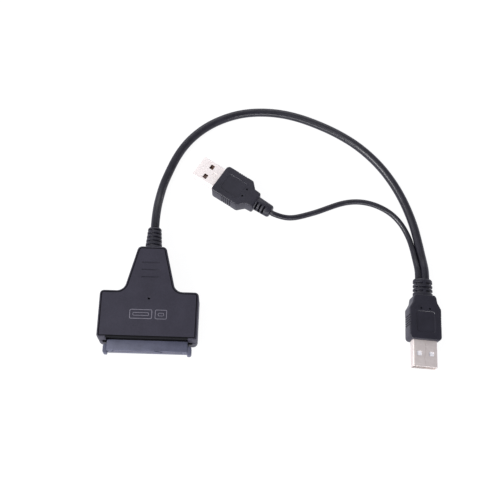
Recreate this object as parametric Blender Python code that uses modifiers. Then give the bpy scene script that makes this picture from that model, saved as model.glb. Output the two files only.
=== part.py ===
# A USB to SATA adapter lead: a drive connector in a T-shaped head, and two USB-A plugs on short cables.
# Metres, +Z up, as it lies on a table. The head lies along Y, with its drive connector facing -Y and its
# cable leaving towards +Y. The origin is the middle of the underside of the head, taken with its
# connector and its strain relief. The data plug and the power plug lie on the table beside it.

import math

import bmesh
import bpy
from mathutils import Matrix, Vector

# Clearances
FIT = 0.0003  # between pieces that touch
FINE_FIT = 0.0001  # round the spring contacts, and under what is soldered to the board

# Head housing, two moulded covers
HEAD_WIDTH = 0.0470
HEAD_HEIGHT = 0.0124
HEAD_LENGTH = 0.0465  # front face to the end of the neck
SHOULDER_LENGTH = 0.0238  # front face to the shoulders
NECK_BASE_WIDTH = 0.0246
NECK_END_WIDTH = 0.0134
FRONT_RADIUS = 0.0022
SHOULDER_RADIUS = 0.0020
NECK_FILLET = 0.0042
NECK_END_RADIUS = 0.0022
WALL = 0.0016
FLOOR = 0.0013
TOP_ROUNDING = 0.0012
BASE_ROUNDING = 0.0008
LIP_THICKNESS = 0.0007  # the lower cover's lip, which stands inside the upper one
LIP_HEIGHT = 0.0009
POCKET_WIDTH = 0.0396  # the dark pocket over the connector
POCKET_DEPTH = 0.0030
GRIP_LINE_COUNT = 3
GRIP_LINE_LENGTH = 0.0088
GRIP_LINE_WIDTH = 0.0005
GRIP_LINE_DEPTH = 0.0003
GRIP_LINE_PITCH = 0.00365
GRIP_LINE_START = 0.0311  # from the front face to the first line
LIGHT_HOLE_RADIUS = 0.0005
LIGHT_HOLE_DISTANCE = 0.0197  # from the front face

# Drive connector, a 7 and 15 way receptacle
BODY_WIDTH = 0.0381
BODY_HEIGHT = 0.0049
BODY_REACH = 0.0050  # how far it stands out of the front face
BODY_DEPTH_INSIDE = 0.0090
EAR_REACH = 0.0056
EAR_THICKNESS = 0.0014
EAR_GAP = 0.0003
EAR_HEIGHT = 0.0030
EAR_BAR_THICKNESS = 0.0023
PITCH = 0.00127
SIGNAL_WAYS = 7
POWER_WAYS = 15
SLOT_MARGIN = 0.00144  # from the last contact to the end of its slot
SLOT_GAP = 0.0023  # between the two slots
SLOT_HEIGHT = 0.0014
SLOT_DEPTH = 0.0064
SLOT_RISE = 0.0022  # underside of the body to the floor of the slots
KEY_WIDTH = 0.0011
KEY_HEIGHT = 0.0008
NOTCH_DEPTH = 0.0005
CONTACT_WIDTH = 0.0006
CONTACT_THICKNESS = 0.0002
CONTACT_CREST = 0.0005  # how far a spring rises above its tail
CONTACT_TAIL = 0.0024  # length of the tail on the board

# Board and what is soldered to it
BOARD_THICKNESS = 0.0010
BOARD_SIDE_ROOM = 0.0024  # between the board and the side walls
BOARD_NECK_HALF_WIDTH = 0.0066
BOARD_NECK_LENGTH = 0.0120
CRYSTAL_PLACE = -0.48  # sideways places on the board, as shares of its half width
REGULATOR_PLACE = 0.38
CAPACITOR_PLACE = 0.77
PARTS_ROW = 0.62  # distance of their row from the board's front, as a share of its wide end
POST_RADIUS = 0.0011
CHIP_SIDE = 0.0070
CHIP_THICKNESS = 0.0012
CRYSTAL_LENGTH = 0.0102
CRYSTAL_WIDTH = 0.0040
CRYSTAL_HEIGHT = 0.0032
REGULATOR_WIDTH = 0.0065
REGULATOR_DEPTH = 0.0035
REGULATOR_HEIGHT = 0.0017
CAPACITOR_RADIUS = 0.0020
CAPACITOR_HEIGHT = 0.0052
LIGHT_LENGTH = 0.0016
LIGHT_WIDTH = 0.0008
LIGHT_HEIGHT = 0.0006
WIRE_RADIUS = 0.00045
WIRE_SPACING = 0.0022

# Strain relief at the head
RELIEF_FLANGE_RADIUS = 0.0044
RELIEF_FLANGE_THICKNESS = 0.0014
RELIEF_NECK_RADIUS = 0.0033
RELIEF_BASE_RADIUS = 0.0039
RELIEF_TIP_RADIUS = 0.0036
RELIEF_LENGTH = 0.0117  # from the end of the neck
RELIEF_SHOULDER = 0.0022  # the sloping end, down to the cable
RELIEF_RINGS = 3

# Grooves of every strain relief
GROOVE_WIDTH = 0.0007
GROOVE_DEPTH = 0.0009

# USB-A plugs
SHELL_WIDTH = 0.0120
SHELL_HEIGHT = 0.0045
SHELL_SHEET = 0.0003
SHELL_LENGTH = 0.01875
SHELL_EXPOSED = 0.0128
SHELL_BEND = 0.0006
SHELL_SEAM = 0.0001
WINDOW_WIDTH = 0.0025
WINDOW_LENGTH = 0.0022
WINDOW_SPACING = 0.0060
WINDOW_DISTANCE = 0.0063  # tip of the shell to the middle of a window
TONGUE_THICKNESS = 0.0018
TONGUE_RECESS = 0.0004  # behind the tip of the shell
PLUG_CAVITY_DEPTH = 0.0092
INSULATOR_LENGTH = 0.0160
PLUG_CONTACT_WIDTH = 0.0010
PLUG_CONTACT_THICKNESS = 0.0002
PLUG_CONTACT_START = 0.0012
PLUG_CONTACT_TAIL = 0.0018
PLUG_CONTACT_PLACES = (-0.0035, -0.0010, 0.0010, 0.0035)
INNER_MOULD_LENGTH = 0.0075

# Plug mouldings
MOULD_WIDTH = 0.0158
MOULD_HEIGHT = 0.0078
MOULD_BLOCK_LENGTH = 0.0154
MOULD_TAPER_LENGTH = 0.0032
MOULD_NECK_LENGTH = 0.0038
MOULD_ROUNDING = 0.0007
MOULD_CORNER = 0.0012
PANEL_WIDTH = 0.0090
PANEL_LENGTH = 0.0103
PANEL_DISTANCE = 0.0036  # front of the moulding to the panel
PANEL_DEPTH = 0.00025
PANEL_CORNER = 0.0010
PIN_HOLE_RADIUS = 0.0005
PIN_HOLE_SPACING = 0.0043
PIN_HOLE_DEPTH = 0.0010
PIN_HOLE_DISTANCE = 0.0153
RIB_COUNT = 5
RIB_PITCH = 0.00115
RIB_WIDTH = 0.0005
RIB_DEPTH = 0.00035
RIB_DISTANCE = 0.0093  # front of the moulding to the middle groove
PLUG_RELIEF_LENGTH = 0.0087
DATA_NECK_WIDTHS = (0.0122, 0.0108)
DATA_RELIEF_HALVES = ((0.0050, 0.0033), (0.0047, 0.0030))  # half width and half height, base and tip
POWER_NECK_WIDTHS = (0.0092, 0.0086)
POWER_RELIEF_HALVES = ((0.0033, 0.0033), (0.0028, 0.0028))

# Cables
MAIN_RADIUS = 0.00213
POWER_RADIUS = 0.00137
MAIN_ENTRY = -0.00125  # sideways places of the two cables in the data plug
POWER_ENTRY = 0.0026
CABLE_STEP = 2.0  # diameters between the points of a tube
DATA_STRAIGHT = 0.0048  # straight stretch of both cables out of the data plug
POWER_STRAIGHT = 0.0026

# Where the plugs lie: the tip of the shell, the heading of the cable end, and the roll
DATA_PLUG_TIP = (0.1306, -0.0339)
DATA_PLUG_HEADING = math.radians(89.2)
DATA_PLUG_TILT = math.radians(9.5)  # the plug lies upside down, tipped on to its right edge by its cables
POWER_PLUG_TIP = (0.0198, 0.0672)
POWER_PLUG_HEADING = math.radians(-32.4)

# The free stretch of each cable, along its middle
MAIN_ROUTE = (
    (0.0004, 0.0450, 0.0044),
    (0.0012, 0.0513, 0.0028),
    (0.0022, 0.0566, 0.00225),
    (0.0037, 0.0614, 0.00225),
    (0.0080, 0.0726, 0.00225),
    (0.0129, 0.0811, 0.00225),
    (0.0190, 0.0879, 0.00225),
    (0.0258, 0.0931, 0.00225),
    (0.0337, 0.0971, 0.00225),
    (0.0420, 0.0997, 0.00225),
    (0.0515, 0.1007, 0.00225),
    (0.0611, 0.1001, 0.00225),
    (0.0706, 0.0979, 0.00225),
    (0.0801, 0.0944, 0.00225),
    (0.0896, 0.0899, 0.00225),
    (0.0990, 0.0840, 0.00225),
    (0.1069, 0.0772, 0.00225),
    (0.1139, 0.0692, 0.00225),
    (0.1201, 0.0595, 0.00225),
    (0.1246, 0.0499, 0.00225),
    (0.1281, 0.0397, 0.00225),
    (0.1299, 0.0319, 0.00225),
    (0.1312, 0.0246, 0.0026),
    (0.1320, 0.0191, 0.0036),
)
POWER_ROUTE = (
    (0.1281, 0.0190, 0.0040),
    (0.1274, 0.0252, 0.0026),
    (0.1258, 0.0326, 0.00155),
    (0.1225, 0.0398, 0.00145),
    (0.1178, 0.0455, 0.00145),
    (0.1116, 0.0494, 0.00145),
    (0.1052, 0.0515, 0.00145),
    (0.0990, 0.0519, 0.00145),
    (0.0928, 0.0508, 0.00145),
    (0.0866, 0.0484, 0.00145),
    (0.0804, 0.0457, 0.00145),
    (0.0742, 0.0436, 0.00145),
    (0.0693, 0.0420, 0.0018),
    (0.0648, 0.0413, 0.0026),
)

# Places that follow from the sizes
FRONT = EAR_REACH - (EAR_REACH + HEAD_LENGTH + RELIEF_LENGTH) / 2  # Y of the head's front face
NECK_END = FRONT + HEAD_LENGTH
SEAM_HEIGHT = HEAD_HEIGHT / 2  # the covers meet on the middle line of the strain relief
BODY_BOTTOM = FLOOR + FIT
BODY_TOP = BODY_BOTTOM + BODY_HEIGHT
BODY_MIDDLE = (BODY_BOTTOM + BODY_TOP) / 2
BODY_REAR = FRONT + BODY_DEPTH_INSIDE
EARS_HALF_WIDTH = BODY_WIDTH / 2 + EAR_GAP + EAR_THICKNESS
SLOT_FLOOR = BODY_BOTTOM + SLOT_RISE
TAIL_HEIGHT = SLOT_FLOOR - FIT  # middle of a contact's tail
BOARD_TOP = TAIL_HEIGHT - CONTACT_THICKNESS / 2 - FINE_FIT
BOARD_FRONT = BODY_REAR + FIT
BOARD_WIDE_END = FRONT + SHOULDER_LENGTH - WALL - 2 * FIT
BOARD_WIDE_LENGTH = BOARD_WIDE_END - BOARD_FRONT
BOARD_HALF_WIDTH = HEAD_WIDTH / 2 - WALL - BOARD_SIDE_ROOM
BOARD_END = BOARD_WIDE_END + BOARD_NECK_LENGTH
RELIEF_AXIS = HEAD_HEIGHT / 2
FLANGE_INNER = NECK_END - WALL - FIT - RELIEF_FLANGE_THICKNESS
MOULD_FRONT = SHELL_EXPOSED
MOULD_END = MOULD_FRONT + MOULD_BLOCK_LENGTH + MOULD_TAPER_LENGTH + MOULD_NECK_LENGTH
PLUG_LENGTH = MOULD_END + PLUG_RELIEF_LENGTH
OVERCUT = 0.0010  # how far a cutter runs past a face


def clear_scene():
    for obj in list(bpy.data.objects):
        bpy.data.objects.remove(obj)
    for collection in list(bpy.data.collections):
        bpy.data.collections.remove(collection)


clear_scene()
parts = bpy.data.collections.new("usb_sata_adapter")
cutters = bpy.data.collections.new("cutters")
bpy.context.scene.collection.children.link(parts)
bpy.context.scene.collection.children.link(cutters)


def material(name, colour, roughness, metallic=0.0):
    made = bpy.data.materials.new(name)
    made.use_nodes = True
    shader = made.node_tree.nodes["Principled BSDF"]
    shader.inputs["Base Color"].default_value = (*colour, 1)
    shader.inputs["Roughness"].default_value = roughness
    shader.inputs["Metallic"].default_value = metallic
    return made


HOUSING_BLACK = material("housing_abs", (0.050, 0.047, 0.060), 0.55)
PVC_BLACK = material("moulded_pvc", (0.024, 0.023, 0.030), 0.45)
CABLE_BLACK = material("cable_jacket", (0.022, 0.022, 0.028), 0.40)
CONNECTOR_BLACK = material("connector_plastic", (0.075, 0.080, 0.105), 0.35)
PLATED_STEEL = material("nickel_plated_steel", (0.62, 0.58, 0.55), 0.25, 1.0)
GOLD = material("gold_plating", (0.83, 0.60, 0.26), 0.25, 1.0)
WHITE_PLASTIC = material("white_plastic", (0.80, 0.80, 0.78), 0.40)
BLACK_PLASTIC = material("black_plastic", (0.03, 0.028, 0.03), 0.40)
MILKY_PLASTIC = material("milky_polyethylene", (0.70, 0.70, 0.66), 0.45)
BOARD_GREEN = material("board_laminate", (0.02, 0.16, 0.07), 0.40)
CHIP_BLACK = material("chip_epoxy", (0.02, 0.02, 0.022), 0.50)
TIN = material("tinned_can", (0.70, 0.70, 0.70), 0.25, 1.0)
LIGHT_YELLOW = material("light_body", (0.85, 0.80, 0.45), 0.30)
WIRE_COLOURS = {
    "red": material("wire_red", (0.55, 0.02, 0.02), 0.45),
    "white": material("wire_white", (0.80, 0.80, 0.80), 0.45),
    "green": material("wire_green", (0.02, 0.30, 0.06), 0.45),
    "black": material("wire_black", (0.02, 0.02, 0.02), 0.45),
}


# Outlines

def rounded(corners, steps=5):
    """The outline through these corners, (x, y, radius) each, turned with an arc where the radius isn't 0."""
    points = []
    for i, (x, y, radius) in enumerate(corners):
        corner = Vector((x, y))
        if radius <= 0:
            points.append(corner)
            continue
        back = (Vector(corners[i - 1][:2]) - corner).normalized()
        ahead = (Vector(corners[(i + 1) % len(corners)][:2]) - corner).normalized()
        half = back.angle(ahead) / 2
        centre = corner + (back + ahead).normalized() * radius / math.sin(half)
        start = corner + back * radius / math.tan(half) - centre
        end = corner + ahead * radius / math.tan(half) - centre
        first = math.atan2(start.y, start.x)
        sweep = (math.atan2(end.y, end.x) - first + math.pi) % math.tau - math.pi
        for step in range(steps + 1):
            angle = first + sweep * step / steps
            points.append(centre + radius * Vector((math.cos(angle), math.sin(angle))))
    return points


def moved_in(corners, inset):
    """The same corners, anticlockwise, with every side moved inwards by inset."""
    moved = []
    for i, (x, y, radius) in enumerate(corners):
        corner = Vector((x, y))
        into = (corner - Vector(corners[i - 1][:2])).normalized()
        out = (Vector(corners[(i + 1) % len(corners)][:2]) - corner).normalized()
        normal_in = Vector((-into.y, into.x))
        normal_out = Vector((-out.y, out.x))
        place = corner + inset * (normal_in + normal_out) / (1 + normal_in.dot(normal_out))
        convex = into.cross(out) > 0
        moved.append((place.x, place.y, max(radius - inset if convex else radius + inset, 0.0003)))
    return moved


def both_sides(right):
    """Corners of the right half, from front to back, with their mirror images: one anticlockwise outline."""
    return list(right) + [(-x, y, radius) for x, y, radius in reversed(right)]


def rectangle(width, length, radius=0.0, centre=(0, 0)):
    x, y = centre
    return both_sides_at(x, [(width / 2, y - length / 2, radius), (width / 2, y + length / 2, radius)])


def both_sides_at(middle, right):
    return [(x + middle, y, radius) for x, y, radius in both_sides(right)]


# Solids

def slab(name, outline, low, high, along="Z"):
    """A flat outline made solid from low to high. Its own plane is XY, XZ for along Y, and YZ for along X."""
    curve = bpy.data.curves.new(name, "CURVE")
    curve.dimensions = "2D"
    curve.fill_mode = "BOTH"
    curve.extrude = (high - low) / 2
    spline = curve.splines.new("POLY")
    spline.points.add(len(outline) - 1)
    for point, (x, y) in zip(spline.points, outline):
        point.co = (x, y, 0, 1)
    spline.use_cyclic_u = True
    shape = bpy.data.objects.new(name + "_outline", curve)
    bpy.context.scene.collection.objects.link(shape)
    bpy.context.view_layer.update()
    graph = bpy.context.evaluated_depsgraph_get()
    mesh = bpy.data.meshes.new_from_object(shape.evaluated_get(graph))
    bpy.data.objects.remove(shape)
    mesh.name = name
    turn = {
        "Z": Matrix.Identity(4),
        "Y": Matrix(((1, 0, 0, 0), (0, 0, 1, 0), (0, 1, 0, 0), (0, 0, 0, 1))),
        "X": Matrix(((0, 0, 1, 0), (1, 0, 0, 0), (0, 1, 0, 0), (0, 0, 0, 1))),
    }[along]
    shape = bmesh.new()
    shape.from_mesh(mesh)
    bmesh.ops.remove_doubles(shape, verts=shape.verts, dist=1e-7)
    bmesh.ops.dissolve_limit(shape, angle_limit=math.radians(1), verts=shape.verts, edges=shape.edges)
    bmesh.ops.translate(shape, vec=(0, 0, (low + high) / 2), verts=shape.verts)
    bmesh.ops.transform(shape, matrix=turn, verts=shape.verts)
    bmesh.ops.recalc_face_normals(shape, faces=shape.faces)
    shape.to_mesh(mesh)
    shape.free()
    return mesh


def box(name, low, high):
    """A box between two opposite corners."""
    shape = bmesh.new()
    size = Vector(high) - Vector(low)
    middle = (Vector(high) + Vector(low)) / 2
    bmesh.ops.create_cube(shape, size=1)
    bmesh.ops.scale(shape, vec=size, verts=shape.verts)
    bmesh.ops.translate(shape, vec=middle, verts=shape.verts)
    mesh = bpy.data.meshes.new(name)
    shape.to_mesh(mesh)
    shape.free()
    return mesh


def cylinder(name, radius, start, end, sides=20):
    """A cylinder between the middles of its two ends."""
    shape = bmesh.new()
    axis = Vector(end) - Vector(start)
    bmesh.ops.create_cone(
        shape, cap_ends=True, segments=sides, radius1=radius, radius2=radius, depth=axis.length
    )
    turn = axis.to_track_quat("Z", "Y").to_matrix().to_4x4()
    bmesh.ops.transform(shape, matrix=Matrix.Translation((Vector(start) + Vector(end)) / 2) @ turn, verts=shape.verts)
    mesh = bpy.data.meshes.new(name)
    shape.to_mesh(mesh)
    shape.free()
    return mesh


def soften_rim(mesh, level, width, steps=2):
    """Rounds the rim of a slab's flat face at this height."""
    shape = bmesh.new()
    shape.from_mesh(mesh)
    rim = [edge for edge in shape.edges if all(abs(v.co.z - level) < 1e-6 for v in edge.verts)]
    bmesh.ops.bevel(
        shape, geom=rim, offset=width, segments=steps, profile=0.5, affect="EDGES", clamp_overlap=True
    )
    shape.to_mesh(mesh)
    shape.free()
    return mesh


def turned(name, profile, stretch=(1, 1), steps=16):
    """A round shape about the Y axis from a profile of (radius, place along Y), tip first, stretched to an oval.
    The profile's two ends lie on the axis."""
    shape = bmesh.new()
    ring = [shape.verts.new((radius, place, 0)) for radius, place in profile]
    for first, second in zip(ring, ring[1:]):
        shape.edges.new((first, second))
    mesh = bpy.data.meshes.new(name)
    shape.to_mesh(mesh)
    shape.free()
    blank = bpy.data.objects.new(name + "_profile", mesh)
    bpy.context.scene.collection.objects.link(blank)
    screw = blank.modifiers.new("turn", "SCREW")
    screw.axis = "Y"
    screw.steps = screw.render_steps = steps
    screw.use_merge_vertices = True
    screw.merge_threshold = 0.000001
    bpy.context.view_layer.update()
    graph = bpy.context.evaluated_depsgraph_get()
    made = bpy.data.meshes.new_from_object(blank.evaluated_get(graph))
    bpy.data.objects.remove(blank)
    shape = bmesh.new()
    shape.from_mesh(made)
    bmesh.ops.remove_doubles(shape, verts=shape.verts, dist=1e-6)
    bmesh.ops.scale(shape, vec=(stretch[0], 1, stretch[1]), verts=shape.verts)
    bmesh.ops.recalc_face_normals(shape, faces=shape.faces)
    shape.to_mesh(made)
    shape.free()
    return made


def smooth_route(points, step):
    """Evenly spaced points along a smooth curve through the given ones."""
    points = [Vector(p) for p in points]
    ends = [2 * points[0] - points[1], *points, 2 * points[-1] - points[-2]]
    fine = []
    for before, start, end, after in zip(ends, ends[1:], ends[2:], ends[3:]):
        for k in range(16):
            t = k / 16
            fine.append(
                start
                + 0.5 * t * (end - before)
                + t * t * (before - 2.5 * start + 2 * end - 0.5 * after)
                + 0.5 * t**3 * (3 * start - 3 * end + after - before)
            )
    fine.append(points[-1])
    lengths = [0.0]
    for first, second in zip(fine, fine[1:]):
        lengths.append(lengths[-1] + (second - first).length)
    count = max(2, round(lengths[-1] / step))
    spaced = []
    at = 0
    for k in range(count + 1):
        wanted = lengths[-1] * k / count
        while at < len(fine) - 2 and lengths[at + 1] < wanted:
            at += 1
        share = (wanted - lengths[at]) / (lengths[at + 1] - lengths[at])
        spaced.append(fine[at].lerp(fine[at + 1], min(max(share, 0), 1)))
    return spaced


# Objects

def piece(name, mesh, finish, parent=None):
    """A named sub-part of the object."""
    mesh.name = name
    mesh.materials.clear()
    mesh.materials.append(finish)
    mesh.shade_smooth()
    mesh.set_sharp_from_angle(angle=math.radians(35))
    obj = bpy.data.objects.new(name, mesh)
    parts.objects.link(obj)
    obj.parent = parent
    return obj


def helper(mesh, parent=None):
    """A shape that only cuts or joins."""
    obj = bpy.data.objects.new(mesh.name, mesh)
    cutters.objects.link(obj)
    obj.hide_render = True
    obj.display_type = "WIRE"
    obj.parent = parent
    return obj


def combine(target, mesh, operation):
    modifier = target.modifiers.new(mesh.name, "BOOLEAN")
    modifier.operation = operation
    modifier.object = helper(mesh, target.parent)


def cut(target, *meshes):
    for mesh in meshes:
        combine(target, mesh, "DIFFERENCE")


def join(target, *meshes):
    for mesh in meshes:
        combine(target, mesh, "UNION")


def joined_boxes(name, corners):
    """Several boxes, clear of each other, as one cutter."""
    shape = bmesh.new()
    for low, high in corners:
        shape.from_mesh(box(name, low, high))
    mesh = bpy.data.meshes.new(name)
    shape.to_mesh(mesh)
    shape.free()
    return mesh


def tube(name, points, radius, finish, bevel_resolution=2):
    """A round cable or wire along these points."""
    curve = bpy.data.curves.new(name, "CURVE")
    curve.dimensions = "3D"
    curve.bevel_depth = radius
    curve.bevel_resolution = bevel_resolution
    curve.use_fill_caps = True
    spline = curve.splines.new("POLY")
    spline.points.add(len(points) - 1)
    for point, place in zip(spline.points, points):
        point.co = (*place, 1)
    curve.materials.append(finish)
    obj = bpy.data.objects.new(name, curve)
    parts.objects.link(obj)
    return obj


# Head housing

def head_corners(inset=0.0, front=None):
    """Corners of the T-shaped plan. With front, the front side is moved back to that Y."""
    corners = both_sides(
        [
            (HEAD_WIDTH / 2, FRONT, FRONT_RADIUS),
            (HEAD_WIDTH / 2, FRONT + SHOULDER_LENGTH, SHOULDER_RADIUS),
            (NECK_BASE_WIDTH / 2, FRONT + SHOULDER_LENGTH, NECK_FILLET),
            (NECK_END_WIDTH / 2, NECK_END, NECK_END_RADIUS),
        ]
    )
    corners = moved_in(corners, inset)
    if front is not None:
        corners = [(x, max(y, front), radius) for x, y, radius in corners]
    return corners


def relief_hole(name):
    radius = RELIEF_NECK_RADIUS + FIT
    start = (0, NECK_END - WALL - OVERCUT, RELIEF_AXIS)
    return cylinder(name, radius, start, (0, NECK_END + OVERCUT, RELIEF_AXIS))


def ear_opening(name):
    """The slot in the front wall that the connector's ears stand in, open up to the seam."""
    half = EARS_HALF_WIDTH + FIT
    low = (-half, FRONT - OVERCUT, BODY_MIDDLE - EAR_HEIGHT / 2 - FIT)
    return box(name, low, (half, FRONT + WALL + FIT, SEAM_HEIGHT + FIT / 2))


def body_opening(name, depth):
    """The way through the front for the connector's body."""
    half = BODY_WIDTH / 2 + FIT
    low = (-half, FRONT - OVERCUT, FLOOR)
    return box(name, low, (half, FRONT + depth + OVERCUT, BODY_TOP + FIT))


def build_top_cover():
    outer = slab("head_top_cover", rounded(head_corners(), 5), SEAM_HEIGHT + FIT / 2, HEAD_HEIGHT)
    cover = piece("head_top_cover", soften_rim(outer, HEAD_HEIGHT, TOP_ROUNDING), HOUSING_BLACK)
    inside = rounded(head_corners(WALL, FRONT + POCKET_DEPTH + WALL))
    cut(cover, slab("top_inside", inside, SEAM_HEIGHT - OVERCUT, HEAD_HEIGHT - WALL))
    rebate = rounded(head_corners(WALL - LIP_THICKNESS - FIT))
    cut(cover, slab("lip_rebate", rebate, SEAM_HEIGHT - OVERCUT, SEAM_HEIGHT + LIP_HEIGHT + FIT))
    pocket_low = (-POCKET_WIDTH / 2, FRONT - OVERCUT, SEAM_HEIGHT - OVERCUT)
    pocket_high = (POCKET_WIDTH / 2, FRONT + POCKET_DEPTH, HEAD_HEIGHT - WALL)
    cut(cover, box("pocket", pocket_low, pocket_high))
    cut(cover, body_opening("top_body_opening", POCKET_DEPTH + WALL))
    cut(cover, relief_hole("top_relief_hole"))
    lines = []
    for i in range(GRIP_LINE_COUNT):
        middle = FRONT + GRIP_LINE_START + i * GRIP_LINE_PITCH
        low = (-GRIP_LINE_LENGTH / 2, middle - GRIP_LINE_WIDTH / 2, HEAD_HEIGHT - GRIP_LINE_DEPTH)
        high = (GRIP_LINE_LENGTH / 2, middle + GRIP_LINE_WIDTH / 2, HEAD_HEIGHT + OVERCUT)
        lines.append((low, high))
    cut(cover, joined_boxes("grip_lines", lines))
    light = (0, FRONT + LIGHT_HOLE_DISTANCE)
    low = (*light, HEAD_HEIGHT - WALL - OVERCUT)
    cut(cover, cylinder("light_hole", LIGHT_HOLE_RADIUS, low, (*light, HEAD_HEIGHT + OVERCUT), 12))


def board_post_places():
    """Places of the posts that the board lies on."""
    out = BOARD_HALF_WIDTH - 2 * POST_RADIUS
    near = BOARD_FRONT + 2 * POST_RADIUS
    far = BOARD_WIDE_END - 2 * POST_RADIUS
    return [(-out, near), (out, near), (-out, far), (out, far), (0, BOARD_END - 2 * POST_RADIUS)]


def build_base_cover():
    outer = slab("head_base_cover", rounded(head_corners(), 5), 0, SEAM_HEIGHT - FIT / 2)
    cover = piece("head_base_cover", soften_rim(outer, 0, BASE_ROUNDING), HOUSING_BLACK)
    lip = rounded(head_corners(WALL - LIP_THICKNESS))
    join(cover, slab("base_lip", lip, FLOOR + FIT, SEAM_HEIGHT + LIP_HEIGHT))
    inside = rounded(head_corners(WALL))
    cut(cover, slab("base_inside", inside, FLOOR, HEAD_HEIGHT))
    posts_top = BOARD_TOP - BOARD_THICKNESS - FIT
    for i, place in enumerate(board_post_places()):
        low = (*place, FLOOR - FIT)
        join(cover, cylinder(f"board_post_{i + 1}", POST_RADIUS, low, (*place, posts_top), 12))
    half = EARS_HALF_WIDTH + FIT
    lip_gap_high = (half, FRONT + WALL + OVERCUT, HEAD_HEIGHT)
    cut(cover, box("lip_gap", (-half, FRONT - OVERCUT, SEAM_HEIGHT - FIT), lip_gap_high))
    cut(cover, body_opening("base_body_opening", WALL), ear_opening("base_ear_opening"))
    cut(cover, relief_hole("base_relief_hole"))


# Drive connector

def slot_spans():
    """Left and right ends of the power slot and of the signal slot."""
    power = (POWER_WAYS - 1) * PITCH + 2 * SLOT_MARGIN
    signal = (SIGNAL_WAYS - 1) * PITCH + 2 * SLOT_MARGIN
    left = -(power + SLOT_GAP + signal) / 2
    return (left, left + power), (left + power + SLOT_GAP, left + power + SLOT_GAP + signal)


def contact_places():
    """X of each contact, by its name."""
    places = {}
    for word, ways, (left, _) in zip(("power", "signal"), (POWER_WAYS, SIGNAL_WAYS), slot_spans()):
        for i in range(ways):
            places[f"sata_{word}_contact_{i + 1:02d}"] = left + SLOT_MARGIN + i * PITCH
    return places


def build_receptacle():
    front = FRONT - BODY_REACH
    body = rectangle(BODY_WIDTH, BODY_REACH + BODY_DEPTH_INSIDE, 0.0003, (0, (front + BODY_REAR) / 2))
    receptacle = piece(
        "sata_receptacle", slab("sata_receptacle", rounded(body, 2), BODY_BOTTOM, BODY_TOP), CONNECTOR_BLACK
    )
    bar_front = FRONT + WALL + 2 * FIT
    bar_back = bar_front + EAR_BAR_THICKNESS
    low, high = BODY_MIDDLE - EAR_HEIGHT / 2, BODY_MIDDLE + EAR_HEIGHT / 2
    bar = rectangle(2 * EARS_HALF_WIDTH, EAR_BAR_THICKNESS, 0, (0, (bar_front + bar_back) / 2))
    join(receptacle, slab("ear_bar", rounded(bar), low, high))
    for side in (-1, 1):
        middle = side * (EARS_HALF_WIDTH - EAR_THICKNESS / 2)
        tip = EAR_THICKNESS * 0.45
        ear = both_sides_at(
            middle,
            [(EAR_THICKNESS / 2, FRONT - EAR_REACH, tip), (EAR_THICKNESS / 2, bar_back - FIT, 0)],
        )
        join(receptacle, slab("ear_left" if side < 0 else "ear_right", rounded(ear, 4), low, high))
    cuts = []
    for left, right in slot_spans():
        deep = front + SLOT_DEPTH
        cuts.append(((left, front - OVERCUT, SLOT_FLOOR), (right, deep, SLOT_FLOOR + SLOT_HEIGHT)))
    cut(receptacle, joined_boxes("blade_slots", cuts))
    keys = []
    for left, _ in slot_spans():
        top = SLOT_FLOOR + SLOT_HEIGHT + KEY_HEIGHT
        keys.append(((left, front - OVERCUT, SLOT_FLOOR + FIT), (left + KEY_WIDTH, front + SLOT_DEPTH, top)))
    cut(receptacle, joined_boxes("key_slots", keys))
    (_, gap_left), (gap_right, _) = slot_spans()
    notch_low = (gap_left, front - OVERCUT, BODY_TOP - BODY_HEIGHT / 3)
    cut(receptacle, box("front_notch", notch_low, (gap_right, front + NOTCH_DEPTH, BODY_TOP + OVERCUT)))
    half = CONTACT_WIDTH / 2 + FINE_FIT
    floor = TAIL_HEIGHT - CONTACT_THICKNESS / 2 - FINE_FIT - FIT
    channels = []
    for x in contact_places().values():
        channels.append(((x - half, front + FIT * 2, floor), (x + half, BODY_REAR + OVERCUT, SLOT_FLOOR + FINE_FIT)))
    cut(receptacle, joined_boxes("contact_channels", channels))
    return receptacle


def strip_outline(middle, thickness):
    """The outline of a bent strip of this thickness along a middle line of (y, z) points."""
    line = [Vector(p) for p in middle]
    upper, lower = [], []
    for i, point in enumerate(line):
        ahead = line[min(i + 1, len(line) - 1)] - line[max(i - 1, 0)]
        side = Vector((-ahead.y, ahead.x)).normalized() * thickness / 2
        upper.append(point + side)
        lower.append(point - side)
    return lower + upper[::-1]


def build_sata_contacts():
    front = FRONT - BODY_REACH
    crest = TAIL_HEIGHT + CONTACT_CREST
    middle = (
        (front + 0.0010, TAIL_HEIGHT),
        (front + 0.0018, crest - 0.0001),
        (front + 0.0023, crest),
        (front + 0.0029, crest - 0.0001),
        (front + 0.0052, TAIL_HEIGHT),
        (BODY_REAR + FIT + CONTACT_TAIL, TAIL_HEIGHT),
    )
    mesh = slab("sata_contact", strip_outline(middle, CONTACT_THICKNESS), -CONTACT_WIDTH / 2, CONTACT_WIDTH / 2, "X")
    for name, x in contact_places().items():
        contact = piece(name, mesh, GOLD)
        contact.location.x = x


# Board

def on_board(x, distance):
    """A place on top of the board, by its distance from the board's front edge."""
    return x, BOARD_FRONT + distance, BOARD_TOP + FINE_FIT


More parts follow.
